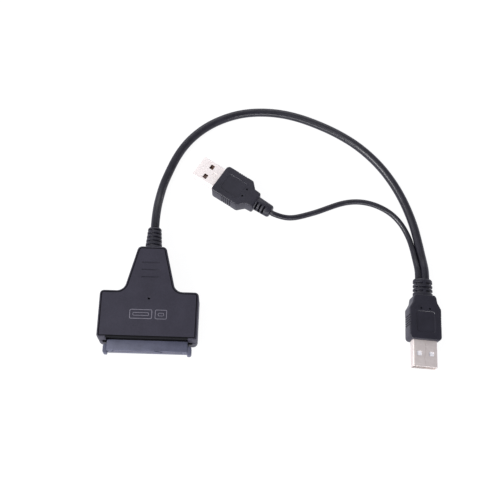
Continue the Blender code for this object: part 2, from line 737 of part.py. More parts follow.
def build_board():
    outline = both_sides(
        [
            (BOARD_HALF_WIDTH, BOARD_FRONT, 0.0005),
            (BOARD_HALF_WIDTH, BOARD_WIDE_END, 0.0010),
            (BOARD_NECK_HALF_WIDTH, BOARD_WIDE_END, 0.0010),
            (BOARD_NECK_HALF_WIDTH, BOARD_END, 0.0005),
        ]
    )
    mesh = slab("bridge_board", rounded(outline, 2), BOARD_TOP - BOARD_THICKNESS, BOARD_TOP)
    piece("bridge_board", mesh, BOARD_GREEN)

    neck_middle = BOARD_WIDE_LENGTH + BOARD_NECK_LENGTH * 0.4
    x, y, z = on_board(0, neck_middle)
    chip = slab("bridge_chip", rounded(rectangle(CHIP_SIDE, CHIP_SIDE, 0.0004, (x, y)), 2), z, z + CHIP_THICKNESS)
    piece("bridge_chip", chip, CHIP_BLACK)

    x, y, z = on_board(CRYSTAL_PLACE * BOARD_HALF_WIDTH, BOARD_WIDE_LENGTH * PARTS_ROW)
    can = rectangle(CRYSTAL_LENGTH, CRYSTAL_WIDTH, CRYSTAL_WIDTH * 0.49, (x, y))
    piece("crystal", soften_rim(slab("crystal", rounded(can, 6), z, z + CRYSTAL_HEIGHT), z + CRYSTAL_HEIGHT, 0.0004), TIN)

    x, y, z = on_board(REGULATOR_PLACE * BOARD_HALF_WIDTH, BOARD_WIDE_LENGTH * PARTS_ROW)
    flat = rectangle(REGULATOR_WIDTH, REGULATOR_DEPTH, 0.0002, (x, y))
    regulator = piece("voltage_regulator", slab("voltage_regulator", rounded(flat, 1), z, z + REGULATOR_HEIGHT), CHIP_BLACK)
    tab = REGULATOR_DEPTH / 2 + 0.0015
    join(regulator, box("regulator_tab", (x - 0.0015, y, z), (x + 0.0015, y + tab, z + 0.0004)))
    for i in (-1, 0, 1):
        leg = x + i * 0.0023
        join(regulator, box(f"regulator_leg_{i + 2}", (leg - 0.00035, y - tab, z), (leg + 0.00035, y, z + 0.0004)))

    x, y, z = on_board(CAPACITOR_PLACE * BOARD_HALF_WIDTH, BOARD_WIDE_LENGTH * PARTS_ROW)
    can = cylinder("capacitor", CAPACITOR_RADIUS, (x, y, z), (x, y, z + CAPACITOR_HEIGHT), 16)
    piece("capacitor", soften_rim(can, z + CAPACITOR_HEIGHT, 0.0003), TIN)

    light_y = FRONT + LIGHT_HOLE_DISTANCE
    low = (-LIGHT_LENGTH / 2, light_y - LIGHT_WIDTH / 2, BOARD_TOP + FINE_FIT)
    piece("activity_light", box("activity_light", low, (LIGHT_LENGTH / 2, light_y + LIGHT_WIDTH / 2, low[2] + LIGHT_HEIGHT)), LIGHT_YELLOW)


def build_head_wires():
    """The four conductors, from the cable's end in the strain relief down to the board."""
    rest = BOARD_TOP + FIT + WIRE_RADIUS
    for i, (colour, finish) in enumerate(WIRE_COLOURS.items()):
        across = (i - 1.5) * WIRE_SPACING
        out_x = WIRE_SPACING * 0.35 * (-1 if i < 2 else 1)
        out_z = RELIEF_AXIS + WIRE_SPACING * 0.35 * (-1 if i in (0, 3) else 1)
        middle_y = (FLANGE_INNER + BOARD_END) / 2
        route = (
            (out_x, FLANGE_INNER - FIT, out_z),
            (out_x, FLANGE_INNER - 0.0015, out_z),
            ((out_x + across) / 2, middle_y, (out_z + rest) / 2),
            (across, BOARD_END - 0.0005, rest + 0.0002),
            (across, BOARD_END - 0.0030, rest),
        )
        tube(f"head_wire_{colour}", smooth_route(route, 0.0012), WIRE_RADIUS, finish, 1)


# Strain reliefs

def relief_profile(start, end, base, tip, cable, groove_places):
    """Profile of a relief's outside, from its base to its sloping end: (radius, place) with a groove at each place."""
    shoulder = end - RELIEF_SHOULDER

    def radius_at(place):
        return base + (tip - base) * min(1, (place - start) / (shoulder - start))

    profile = [(base, start)]
    for place in groove_places:
        for edge, deep in ((-0.5, 0), (-0.4, 1), (0.4, 1), (0.5, 0)):
            at = place + edge * GROOVE_WIDTH
            profile.append((radius_at(at) - deep * GROOVE_DEPTH, at))
    profile.append((tip, shoulder))
    profile.append(((tip + cable) / 2 + (tip - cable) * 0.2, end - RELIEF_SHOULDER * 0.4))
    profile.append((cable, end))
    return profile


def groove_places(start, end, count):
    """Full grooves evenly spaced up to the sloping end, and the side notches half way between them."""
    span = end - RELIEF_SHOULDER - start
    pitch = span / count
    full = [start + pitch * (i + 1) - GROOVE_WIDTH for i in range(count)]
    notches = [(a + b) / 2 for a, b in zip(full, full[1:])]
    return full, notches


def side_notches(name, places, half_width, half_height, axis_height=0.0):
    """Cutters that notch both sides of a relief, leaving a spine along its middle."""
    boxes = []
    for place in places:
        for side in (-1, 1):
            inner, outer = side * half_width * 0.62, side * (half_width + OVERCUT)
            boxes.append(
                (
                    (min(inner, outer), place - GROOVE_WIDTH / 2, axis_height - half_height - OVERCUT),
                    (max(inner, outer), place + GROOVE_WIDTH / 2, axis_height + half_height + OVERCUT),
                )
            )
    return joined_boxes(name, boxes)


def build_head_relief():
    start = NECK_END + FIT
    end = NECK_END + RELIEF_LENGTH
    cable = MAIN_RADIUS + FIT
    full, notches = groove_places(start, end, RELIEF_RINGS)
    flange_outer = FLANGE_INNER + RELIEF_FLANGE_THICKNESS
    profile = [
        (0, FLANGE_INNER),
        (RELIEF_FLANGE_RADIUS, FLANGE_INNER),
        (RELIEF_FLANGE_RADIUS, flange_outer),
        (RELIEF_NECK_RADIUS, flange_outer),
        (RELIEF_NECK_RADIUS, start),
        *relief_profile(start, end, RELIEF_BASE_RADIUS, RELIEF_TIP_RADIUS, cable, full),
        (0, end),
    ]
    mesh = turned("head_strain_relief", profile)
    mesh.transform(Matrix.Translation((0, 0, RELIEF_AXIS)))
    relief = piece("head_strain_relief", mesh, PVC_BLACK)
    cut(relief, side_notches("head_relief_notches", notches, RELIEF_BASE_RADIUS, RELIEF_BASE_RADIUS, RELIEF_AXIS))


# Plugs. Each is built along +Y from the tip of its shell, with its marked face up, on a frame that lays it down.

def plug_frame(name, tip, heading, roll):
    """An empty at the tip of the shell, on the plug's middle line."""
    frame = bpy.data.objects.new(name, None)
    parts.objects.link(frame)
    corner_x = MOULD_WIDTH / 2 - MOULD_ROUNDING
    corner_z = MOULD_HEIGHT / 2 - MOULD_ROUNDING
    height = corner_z * abs(math.cos(roll)) + corner_x * abs(math.sin(roll)) + MOULD_ROUNDING
    frame.matrix_world = (
        Matrix.Translation((*tip, height))
        @ Matrix.Rotation(heading - math.pi / 2, 4, "Z")
        @ Matrix.Rotation(roll, 4, "Y")
    )
    return frame


def build_shell(plug, frame):
    outline = rounded(rectangle(SHELL_WIDTH, SHELL_HEIGHT, SHELL_BEND), 3)
    shell = piece(f"{plug}_shell", slab(f"{plug}_shell", outline, 0, SHELL_LENGTH, "Y"), PLATED_STEEL, frame)
    inside = rectangle(SHELL_WIDTH - 2 * SHELL_SHEET, SHELL_HEIGHT - 2 * SHELL_SHEET, SHELL_BEND - SHELL_SHEET)
    cut(shell, slab(f"{plug}_shell_inside", rounded(inside, 3), -OVERCUT, SHELL_LENGTH + OVERCUT, "Y"))
    windows = []
    for side in (-1, 1):
        middle = side * WINDOW_SPACING / 2
        low = (middle - WINDOW_WIDTH / 2, WINDOW_DISTANCE - WINDOW_LENGTH / 2, -SHELL_HEIGHT)
        windows.append((low, (middle + WINDOW_WIDTH / 2, WINDOW_DISTANCE + WINDOW_LENGTH / 2, SHELL_HEIGHT)))
    cut(shell, joined_boxes(f"{plug}_windows", windows))
    seam_low = (-SHELL_SEAM / 2, -OVERCUT, -SHELL_HEIGHT)
    cut(shell, box(f"{plug}_seam", seam_low, (SHELL_SEAM / 2, SHELL_LENGTH + OVERCUT, 0)))


def tongue_top():
    """Height of the face that the contacts lie in."""
    return -SHELL_HEIGHT / 2 + SHELL_SHEET + FINE_FIT + TONGUE_THICKNESS


def build_insulator(plug, frame, finish):
    half = SHELL_WIDTH / 2 - SHELL_SHEET - FINE_FIT
    bottom = -SHELL_HEIGHT / 2 + SHELL_SHEET + FINE_FIT
    top = SHELL_HEIGHT / 2 - SHELL_SHEET - FINE_FIT
    profile = [
        (TONGUE_RECESS, bottom, 0),
        (INSULATOR_LENGTH, bottom, 0),
        (INSULATOR_LENGTH, top, 0),
        (PLUG_CAVITY_DEPTH, top, 0),
        (PLUG_CAVITY_DEPTH, tongue_top(), 0),
        (TONGUE_RECESS + 0.0003, tongue_top(), 0),
        (TONGUE_RECESS, tongue_top() - 0.0003, 0),
    ]
    mesh = slab(f"{plug}_insulator", rounded(profile), -half, half, "X")
    insulator = piece(f"{plug}_insulator", mesh, finish, frame)
    grooves = []
    room = PLUG_CONTACT_WIDTH / 2 + FINE_FIT
    for x in PLUG_CONTACT_PLACES:
        low = (x - room, PLUG_CONTACT_START - FINE_FIT, tongue_top() - PLUG_CONTACT_THICKNESS - 2 * FINE_FIT)
        grooves.append((low, (x + room, INSULATOR_LENGTH + OVERCUT, tongue_top() + 2 * FINE_FIT)))
    cut(insulator, joined_boxes(f"{plug}_contact_grooves", grooves))


def build_plug_contacts(plug, frame):
    top = tongue_top()
    low = (-PLUG_CONTACT_WIDTH / 2, PLUG_CONTACT_START, top - PLUG_CONTACT_THICKNESS - FINE_FIT / 2)
    high = (PLUG_CONTACT_WIDTH / 2, INSULATOR_LENGTH + PLUG_CONTACT_TAIL, top - FINE_FIT / 2)
    mesh = box(f"{plug}_contact", low, high)
    for i, x in enumerate(PLUG_CONTACT_PLACES):
        contact = piece(f"{plug}_contact_{i + 1}", mesh, GOLD, frame)
        contact.location.x = x


def build_inner_mould(plug, frame):
    outline = rounded(rectangle(SHELL_WIDTH, SHELL_HEIGHT, SHELL_BEND), 3)
    start = SHELL_LENGTH + FIT
    mesh = slab(f"{plug}_inner_mould", outline, start, start + INNER_MOULD_LENGTH, "Y")
    piece(f"{plug}_inner_mould", mesh, MILKY_PLASTIC, frame)


def face_details(plug, face):
    """The shallow panel and the two pin holes on one face of a moulding: face is 1 for the top, -1 for the underside."""
    surface = face * MOULD_HEIGHT / 2
    middle = MOULD_FRONT + PANEL_DISTANCE + PANEL_LENGTH / 2
    outline = rounded(rectangle(PANEL_WIDTH, PANEL_LENGTH, PANEL_CORNER, (0, middle)), 3)
    deep, out = surface - face * PANEL_DEPTH, surface + face * OVERCUT
    word = "top" if face > 0 else "under"
    yield slab(f"{plug}_{word}_panel", outline, min(deep, out), max(deep, out))
    for side in (-1, 1):
        x, y = side * PIN_HOLE_SPACING / 2, MOULD_FRONT + PIN_HOLE_DISTANCE
        start, end = (x, y, surface - face * PIN_HOLE_DEPTH), (x, y, out)
        yield cylinder(f"{plug}_{word}_pin_hole_{side + 2}", PIN_HOLE_RADIUS, start, end, 8)


def build_moulding(plug, frame, neck_widths, relief_halves, cables_half_width):
    """The outer moulding, in one shot with its strain relief. The halves are half widths and half heights."""
    block_end = MOULD_FRONT + MOULD_BLOCK_LENGTH
    neck_start = block_end + MOULD_TAPER_LENGTH
    plan = both_sides(
        [
            (MOULD_WIDTH / 2, MOULD_FRONT, MOULD_CORNER),
            (MOULD_WIDTH / 2, block_end, MOULD_CORNER),
            (neck_widths[0] / 2, neck_start, MOULD_CORNER * 0.6),
            (neck_widths[1] / 2, MOULD_END, MOULD_CORNER * 0.6),
        ]
    )
    block = slab(f"{plug}_moulding", rounded(plan, 3), -MOULD_HEIGHT / 2, MOULD_HEIGHT / 2)
    for level in (-MOULD_HEIGHT / 2, MOULD_HEIGHT / 2):
        soften_rim(block, level, MOULD_ROUNDING)
    moulding = piece(f"{plug}_moulding", block, PVC_BLACK, frame)

    (base, base_height), (tip, tip_height) = relief_halves
    notches, full = groove_places(MOULD_END, PLUG_LENGTH, 2)
    profile = [
        (0, MOULD_END - OVERCUT),
        (base, MOULD_END - OVERCUT),
        *relief_profile(MOULD_END, PLUG_LENGTH, base, tip, cables_half_width, full),
        (0, PLUG_LENGTH),
    ]
    join(moulding, turned(f"{plug}_relief", profile, (1, (base_height + tip_height) / (base + tip))))
    cut(moulding, side_notches(f"{plug}_relief_notches", notches, base, base_height))

    room = rectangle(SHELL_WIDTH + 2 * FIT, SHELL_HEIGHT + 2 * FIT, SHELL_BEND + FIT)
    room_end = SHELL_LENGTH + INNER_MOULD_LENGTH + 2 * FIT
    cut(moulding, slab(f"{plug}_room", rounded(room, 3), MOULD_FRONT - OVERCUT, room_end, "Y"))
    for face in (-1, 1):
        cut(moulding, *face_details(plug, face))
    ribs = []
    for side in (-1, 1):
        inner, outer = side * (MOULD_WIDTH / 2 - RIB_DEPTH), side * (MOULD_WIDTH / 2 + OVERCUT)
        for i in range(RIB_COUNT):
            middle = MOULD_FRONT + RIB_DISTANCE + (i - (RIB_COUNT - 1) / 2) * RIB_PITCH
            low = (min(inner, outer), middle - RIB_WIDTH / 2, -MOULD_HEIGHT)
            ribs.append((low, (max(inner, outer), middle + RIB_WIDTH / 2, MOULD_HEIGHT)))
    cut(moulding, joined_boxes(f"{plug}_side_ribs", ribs))


def build_plug(plug, frame, insulator_finish, neck_widths, relief_halves, cables_half_width):
    build_shell(plug, frame)
    build_insulator(plug, frame, insulator_finish)
    build_plug_contacts(plug, frame)
    build_inner_mould(plug, frame)
    build_moulding(plug, frame, neck_widths, relief_halves, cables_half_width)


# Cables

def cable_exit(frame, sideways, straight):
    """Where a cable leaves a plug: its end, just off the relief, and a point straight out from it."""
    return [frame.matrix_world @ Vector((sideways, PLUG_LENGTH + out, 0)) for out in (FIT, straight)]


def build_cables(data_frame, power_frame):
    head_end = [(0, NECK_END + RELIEF_LENGTH + out, RELIEF_AXIS - drop) for out, drop in ((FIT, 0), (0.0050, 0.0003))]
    data_end = cable_exit(data_frame, MAIN_ENTRY, DATA_STRAIGHT)
    main = smooth_route([*head_end, *MAIN_ROUTE, data_end[1], data_end[0]], CABLE_STEP * 2 * MAIN_RADIUS)
    tube("main_cable", main, MAIN_RADIUS, CABLE_BLACK)
    start = cable_exit(data_frame, POWER_ENTRY, DATA_STRAIGHT)
    end = cable_exit(power_frame, 0, POWER_STRAIGHT)
    power = smooth_route([*start, *POWER_ROUTE, end[1], end[0]], CABLE_STEP * 2 * POWER_RADIUS)
    tube("power_cable", power, POWER_RADIUS, CABLE_BLACK)


build_base_cover()
build_top_cover()
build_receptacle()
build_sata_contacts()
build_board()
build_head_wires()
build_head_relief()

data_plug = plug_frame("data_plug_frame", DATA_PLUG_TIP, DATA_PLUG_HEADING, math.pi + DATA_PLUG_TILT)
power_plug = plug_frame("power_plug_frame", POWER_PLUG_TIP, POWER_PLUG_HEADING, 0)
bpy.context.view_layer.update()
both_cables = (MAIN_RADIUS + POWER_RADIUS + POWER_ENTRY - MAIN_ENTRY) / 2 + FIT
one_cable = POWER_RADIUS + 2 * FIT
build_plug("data_plug", data_plug, WHITE_PLASTIC, DATA_NECK_WIDTHS, DATA_RELIEF_HALVES, both_cables)
build_plug("power_plug", power_plug, BLACK_PLASTIC, POWER_NECK_WIDTHS, POWER_RELIEF_HALVES, one_cable)
build_cables(data_plug, power_plug)
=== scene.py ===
import math
import bmesh
import bpy
from mathutils import Matrix, Vector


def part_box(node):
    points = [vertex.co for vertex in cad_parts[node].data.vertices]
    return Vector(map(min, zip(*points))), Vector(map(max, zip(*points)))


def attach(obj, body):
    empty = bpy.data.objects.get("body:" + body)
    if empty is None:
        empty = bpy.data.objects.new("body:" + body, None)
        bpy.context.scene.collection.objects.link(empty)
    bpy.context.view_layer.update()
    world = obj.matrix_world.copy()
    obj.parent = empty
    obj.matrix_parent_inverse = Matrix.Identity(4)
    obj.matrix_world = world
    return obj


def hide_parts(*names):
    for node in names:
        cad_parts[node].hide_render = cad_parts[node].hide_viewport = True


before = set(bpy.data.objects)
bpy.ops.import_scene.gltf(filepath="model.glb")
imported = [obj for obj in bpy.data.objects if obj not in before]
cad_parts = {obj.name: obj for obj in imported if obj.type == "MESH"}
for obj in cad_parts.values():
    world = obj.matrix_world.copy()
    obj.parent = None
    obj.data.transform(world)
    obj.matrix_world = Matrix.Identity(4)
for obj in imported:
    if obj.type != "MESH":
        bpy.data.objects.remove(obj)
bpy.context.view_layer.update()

mm = 0.001


def toLinear(code):
    parts = [int(code[i:i + 2], 16) / 255 for i in (1, 3, 5)]
    return (*[c / 12.92 if c <= 0.04045 else ((c + 0.055) / 1.055) ** 2.4 for c in parts], 1)


def addNode(tree, kind, settings=None, links=None):
    node = tree.nodes.new(kind)
    for key, value in (settings or {}).items():
        if isinstance(key, int) or key in node.inputs:
            node.inputs[key].default_value = value
        else:
            setattr(node, key, value)
    for key, source in (links or {}).items():
        tree.links.new(source, node.inputs[key])
    return node


def newSurface(name, look):
    # a wide cloud and a fine grain tint it, the grain raises it, and one of the two changes its roughness
    made = bpy.data.materials.new(name)
    made.use_nodes = True
    tree = made.node_tree
    shader = tree.nodes["Principled BSDF"]
    place = addNode(tree, "ShaderNodeTexCoord").outputs["Object"]
    places = {"cloud": place, "grain": place}
    if "along" in look:  # the grain follows an attribute of the mesh
        run = addNode(tree, "ShaderNodeAttribute", {"attribute_name": look["along"]})
        places["grain"] = run.outputs["Vector"]
    pattern = {}
    for key, where in places.items():
        settings = {"Scale": 1 / (look[key] * mm), "Detail": look["detail"][key]}
        pattern[key] = addNode(tree, "ShaderNodeTexNoise", settings, {"Vector": where}).outputs["Fac"]
    settings = {"data_type": "FLOAT", 0: look["speckle"]}
    mixed = addNode(tree, "ShaderNodeMix", settings, {2: pattern["cloud"], 3: pattern["grain"]})
    ramp = addNode(tree, "ShaderNodeValToRGB", links={"Fac": mixed.outputs[0]})
    for stop, position, code in zip(ramp.color_ramp.elements, (0.3, 0.7), (look["dark"], look["light"])):
        stop.position = position
        stop.color = toLinear(code)
    low, high = look["rough"]
    rough = addNode(
        tree, "ShaderNodeMapRange", {"To Min": low, "To Max": high}, {"Value": pattern[look["roughBy"]]})
    settings = {"Strength": look["bump"], "Distance": look["depth"] * mm}
    bump = addNode(tree, "ShaderNodeBump", settings, {"Height": pattern["grain"]})
    tree.links.new(ramp.outputs["Color"], shader.inputs["Base Color"])
    tree.links.new(rough.outputs["Result"], shader.inputs["Roughness"])
    tree.links.new(bump.outputs["Normal"], shader.inputs["Normal"])
    shader.inputs["Specular IOR Level"].default_value = look["specular"]
    shader.inputs["Metallic"].default_value = look["metallic"]
    return made


# What each way of making has in common. Cloud, grain and depth are in millimetres. Real scuffs of a plating
# and streaks of an extrusion are finer than 0.25 and 0.6 mm, and are drawn that wide so that they show.
moulded = {
    "cloud": 3.0, "grain": 0.3, "detail": {"cloud": 4.0, "grain": 3.0}, "speckle": 0.5, "roughBy": "cloud",
    "bump": 0.35, "depth": 0.02, "specular": 0.5, "metallic": 0.0,
}
plated = moulded | {
    "cloud": 2.0, "grain": 0.25, "detail": {"cloud": 5.0, "grain": 2.0}, "speckle": 0.0, "roughBy": "grain",
    "bump": 0.15, "depth": 0.01, "metallic": 1.0,
}
extruded = moulded | {
    "cloud": 4.0, "grain": 0.6, "detail": {"cloud": 5.0, "grain": 3.0}, "speckle": 0.0, "roughBy": "grain",
    "bump": 0.3, "along": "alongCable",
}

# Spark-eroded ABS: a soft, slightly violet black with a fine even grain. The real grain is about 0.1 mm,
# and it is drawn at 0.45 mm so that it shows.
housingAbs = newSurface("sparkErodedAbs", moulded | {
    "dark": "#22202C", "light": "#302E3B", "grain": 0.45, "cloud": 9.0, "speckle": 0.6,
    "rough": (0.38, 0.50), "bump": 0.8, "depth": 0.03, "specular": 0.4,
})
# Painted shade: the same ABS without the grain, black and plain, painted in the edge groove, the connector's
# well and the lip over it, where shade falls.
paintedShadeAbs = newSurface("polishedWellAbs", moulded | {
    "dark": "#0A0A0D", "light": "#101014", "rough": (0.6, 0.7), "specular": 0.15,
})
# The same ABS where raised lines are worn: a paler grey.
markAbs = newSurface("wornMarkAbs", moulded | {"dark": "#6E6B76", "light": "#827F8A", "rough": (0.35, 0.45)})
# Glass-filled LCP of the drive connector: bluish grey-black with faint flow streaks.
connectorLcp = newSurface("glassFilledLcp", moulded | {
    "dark": "#4A4C5C", "light": "#5B5D70", "grain": 0.8, "cloud": 4.5, "speckle": 0.45,
    "rough": (0.36, 0.48), "bump": 0.3,
})
# Soft PVC shot over the plugs: near black, glossier than the housing. Its leathery grain is drawn at 0.4 mm,
# some three times too coarse, so that it shows.
shotPvc = newSurface("shotPvc", moulded | {
    "dark": "#1A1922", "light": "#282732", "grain": 0.4, "cloud": 5.0, "speckle": 0.6,
    "rough": (0.32, 0.42), "bump": 0.5, "depth": 0.025,
})
# Extruded PVC of the cables: a satin black with streaks along the cable.
jacketPvc = newSurface("extrudedPvc", extruded | {
    "dark": "#16161D", "light": "#23222B", "rough": (0.26, 0.36),
})
# Moulded PBT of the plugs' tongues: clean white in the data plug, a pinkish brown in the power plug.
whitePbt = newSurface("whitePbt", moulded | {"dark": "#F0F0F4", "light": "#FAFAFC", "rough": (0.4, 0.5)})
brownPbt = newSurface("brownPbt", moulded | {"dark": "#B49E94", "light": "#C6B0A6", "rough": (0.4, 0.5)})
# Polyethylene of the inner moulds: milky and waxy.
milkyPe = newSurface("milkyPolyethylene", moulded | {
    "dark": "#D0D0C8", "light": "#DEDED6", "rough": (0.4, 0.5),
})
# Glass laminate under solder mask: an even, satin green.
maskedLaminate = newSurface("solderMaskedLaminate", moulded | {
    "dark": "#0E5A30", "light": "#17693A", "rough": (0.3, 0.4),
})
# Transfer-moulded epoxy of the chips: flat black.
chipEpoxy = newSurface("chipEpoxy", moulded | {"dark": "#17171A", "light": "#202024", "rough": (0.5, 0.6)})
# Cast resin of the light: glossy and yellowish.
castResin = newSurface("castLightResin", moulded | {
    "dark": "#D8D2A0", "light": "#E8E2B8", "rough": (0.15, 0.25),
})
# Nickel over steel in two copies, lit and shaded: the power plug's is painted bright and pinkish as if lit, a
# painted highlight, the data plug's duller and warmer.
brightNickel = newSurface("brightNickel", plated | {
    "dark": "#F7EEEB", "light": "#FCF5F2", "cloud": 2.5, "rough": (0.36, 0.48), "metallic": 0.4,
})
warmNickel = newSurface("warmNickel", plated | {
    "dark": "#E0D6D1", "light": "#EAE1DC", "rough": (0.34, 0.46), "metallic": 0.5,
})
# Painted shade: the same plating made darker in the stamped dimple's ring groove.
burnishedNickel = newSurface("burnishedNickel", plated | {
    "dark": "#6E6462", "light": "#8A7F7C", "rough": (0.3, 0.4),
})
# Gold flashed over nickel: warm and smooth.
goldFlash = newSurface("goldFlash", plated | {"dark": "#B98A4C", "light": "#D2A766", "rough": (0.25, 0.35)})
# Bare copper alloy with a tarnish: brown and dull.
dullCopper = newSurface("dullCopper", plated | {
    "dark": "#8A7264", "light": "#9C8272", "rough": (0.4, 0.5), "metallic": 0.6,
})
# Tin over steel: a plain light grey.
tinPlate = newSurface("tinPlate", plated | {"dark": "#B8B8B8", "light": "#CACACA", "rough": (0.25, 0.35)})
# PVC of the thin wires: full, plain inks.
wireInks = {
    "red": ("#9C1C1C", "#B02424"), "white": ("#D4D4D2", "#E4E4E2"),
    "green": ("#1C7A38", "#258C44"), "black": ("#17171A", "#222226"),
}
wirePvc = {}
for ink, (dark, light) in wireInks.items():
    look = moulded | {"dark": dark, "light": light, "rough": (0.35, 0.45)}
    wirePvc[ink] = newSurface(ink + "WirePvc", look)
print("materials ready")


# Shapes are made in millimetres, and turned to metres when they become pieces.

def roundCorners(shape, verts, radii, steps):
    for vert, radius in zip(verts, radii):
        if radius:
            sides = [edge.other_vert(vert).co - vert.co for edge in vert.link_edges]
            reach = radius / math.tan(sides[0].angle(sides[1]) / 2)
            bmesh.ops.bevel(
                shape, geom=[vert], offset=reach, segments=steps, profile=0.5, affect="VERTICES", material=-1)


def insetFace(shape, amount, keepRim=False):
    rim = bmesh.ops.inset_region(
        shape, faces=shape.faces[:], thickness=amount, use_even_offset=True, use_boundary=True)["faces"]
    gone = [face for face in shape.faces if face not in rim] if keepRim else rim
    bmesh.ops.delete(shape, geom=gone, context="FACES")


def outline(corners, level, steps):  # corners are (x, y, radius), anticlockwise
    shape = bmesh.new()
    verts = [shape.verts.new((x, y, level)) for x, y, radius in corners]
    shape.faces.new(verts)
    roundCorners(shape, verts, [radius for x, y, radius in corners], steps)
    return shape


def raiseTo(shape, amount):
    made = bmesh.ops.extrude_face_region(shape, geom=shape.faces[:])["geom"]
    raised = [part for part in made if isinstance(part, bmesh.types.BMVert)]
    bmesh.ops.translate(shape, vec=(0, 0, amount), verts=raised)
    bmesh.ops.recalc_face_normals(shape, faces=shape.faces)


def cutAcross(shape, point, normal, clear=False):
    parts = shape.verts[:] + shape.edges[:] + shape.faces[:]
    bmesh.ops.bisect_plane(shape, geom=parts, plane_co=point, plane_no=normal, clear_outer=clear)


def bevelEdges(shape, edges, amount, steps):
    bmesh.ops.bevel(
        shape, geom=edges, offset=amount, segments=steps, profile=0.5, affect="EDGES", material=-1)


def onLevel(vert, level):
    return abs(vert.co.z - level) < 1e-4


def plate(corners, low, high, under=(0, 1), over=(0, 1), steps=6, inset=0.0, behind=None):
    # under and over are the rounding and its steps along the lower and the upper rim
    shape = outline(corners, low, steps)
    if inset:
        insetFace(shape, inset)
    if behind is not None:
        cutAcross(shape, (0, behind, 0), (0, -1, 0), clear=True)
    raiseTo(shape, high - low)
    for level, (amount, count) in ((low, under), (high, over)):
        if amount:
            rim = [edge for edge in shape.edges if all(onLevel(vert, level) for vert in edge.verts)]
            bevelEdges(shape, rim, amount, count)
    return shape


def frameRing(corners, inset, width, low, high, steps=6):  # a ring that follows an outline
    shape = outline(corners, low, steps)
    if inset:
        insetFace(shape, inset)
    insetFace(shape, width, keepRim=True)
    raiseTo(shape, high - low)
    return shape


def bar(low, high, rounding=0.0, steps=3):
    shape = bmesh.new()
    bmesh.ops.create_cube(shape, size=1)
    bmesh.ops.scale(shape, vec=Vector(high) - Vector(low), verts=shape.verts)
    bmesh.ops.translate(shape, vec=(Vector(high) + Vector(low)) / 2, verts=shape.verts)
    if rounding:
        bevelEdges(shape, shape.edges[:], rounding, steps)
    return shape


def pin(start, end, radius, endRadius=None, sides=32):
    shape = bmesh.new()
    axis = Vector(end) - Vector(start)
    turn = axis.to_track_quat("Z", "Y").to_matrix().to_4x4()
    place = Matrix.Translation((Vector(start) + Vector(end)) / 2) @ turn
    last = radius if endRadius is None else endRadius
    bmesh.ops.create_cone(
        shape, cap_ends=True, segments=sides, radius1=radius, radius2=last, depth=axis.length, matrix=place)
    return shape


def layAlongY(shape):  # what was up points back along +Y, for outlines drawn in x and z
    turn = Matrix.Rotation(math.radians(-90), 3, "X")
    bmesh.ops.rotate(shape, cent=(0, 0, 0), matrix=turn, verts=shape.verts)
    return shape


def rectangle(width, length, radius=0.0, centre=(0, 0)):
    x, y = centre
    spots = ((-1, -1), (1, -1), (1, 1), (-1, 1))
    return [(x + i * width / 2, y + j * length / 2, radius) for i, j in spots]


def bothSides(right):
    return list(right) + [(-x, y, radius) for x, y, radius in reversed(right)]


def meshOf(shape):
    mesh = bpy.data.meshes.new("shape")
    shape.to_mesh(mesh)
    shape.free()
    return mesh


def combined(base, tools, operation="DIFFERENCE"):
    blank = bpy.data.objects.new("blank", base if isinstance(base, bpy.types.Mesh) else meshOf(base))
    helpers = [bpy.data.objects.new("tool", meshOf(tool)) for tool in tools]
    for piece in (blank, *helpers):
        bpy.context.scene.collection.objects.link(piece)
    for helper in helpers:
        modifier = blank.modifiers.new("join", "BOOLEAN")
        modifier.operation = operation
        modifier.object = helper
    bpy.context.view_layer.update()
    graph = bpy.context.evaluated_depsgraph_get()
    made = bpy.data.meshes.new_from_object(blank.evaluated_get(graph))
    for piece in (blank, *helpers):
        bpy.data.objects.remove(piece)
    return made


def divided(mesh, planes):  # new edges where planes cross a mesh, for a change of finish
    shape = bmesh.new()
    shape.from_mesh(mesh)
    for point, normal in planes:
        cutAcross(shape, point, normal)
    return meshOf(shape)


def together(*shapes):  # one mesh of several closed shapes
    whole = bmesh.new()
    for shape in shapes:
        whole.from_mesh(shape if isinstance(shape, bpy.types.Mesh) else meshOf(shape))
    return meshOf(whole)


def addPiece(name, mesh, material, replaced=(), place=None, sharp=34):
    if not isinstance(mesh, bpy.types.Mesh):
        mesh = meshOf(mesh)
    mesh.transform((place or Matrix.Identity(4)) @ Matrix.Scale(mm, 4))
    mesh.name = name
    mesh.materials.clear()
    mesh.materials.append(material)
    mesh.shade_smooth()
    mesh.set_sharp_from_angle(angle=math.radians(sharp))
    piece = bpy.data.objects.new(name, mesh)
    bpy.context.scene.collection.objects.link(piece)
    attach(piece, "root")
    if replaced:
        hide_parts(*replaced)
    return piece


def paintShadeWhere(piece, material, test):  # paints shade: faces that pass the test take the material; test is given a face's middle in millimetres, and its normal
    piece.data.materials.append(material)
    index = len(piece.data.materials) - 1
    for face in piece.data.polygons:
        if test(face.center / mm, face.normal):
            face.material_index = index


# The camera stands and looks as for the photograph.
photoView = {
    "place": (45.81, -155.38, 466.48), "lens": 72.657, "sensor": 36, "near": 0.01,
    "right": (0.99951, 0.02833, 0.01366), "up": (-0.03134, 0.93253, 0.35973),
}
sideways = Vector(photoView["right"]).normalized()
backwards = sideways.cross(Vector(photoView["up"])).normalized()
upwards = backwards.cross(sideways)
lens = bpy.data.cameras.new("photoCamera")
lens.sensor_width = photoView["sensor"]
lens.lens = photoView["lens"]
lens.clip_start = photoView["near"]
photoCamera = bpy.data.objects.new("photoCamera", lens)
aim = Matrix((sideways, upwards, backwards)).transposed().to_4x4()
photoCamera.matrix_world = Matrix.Translation(Vector(photoView["place"]) * mm) @ aim
bpy.context.scene.collection.objects.link(photoCamera)
bpy.context.scene.camera = photoCamera
print("camera ready")


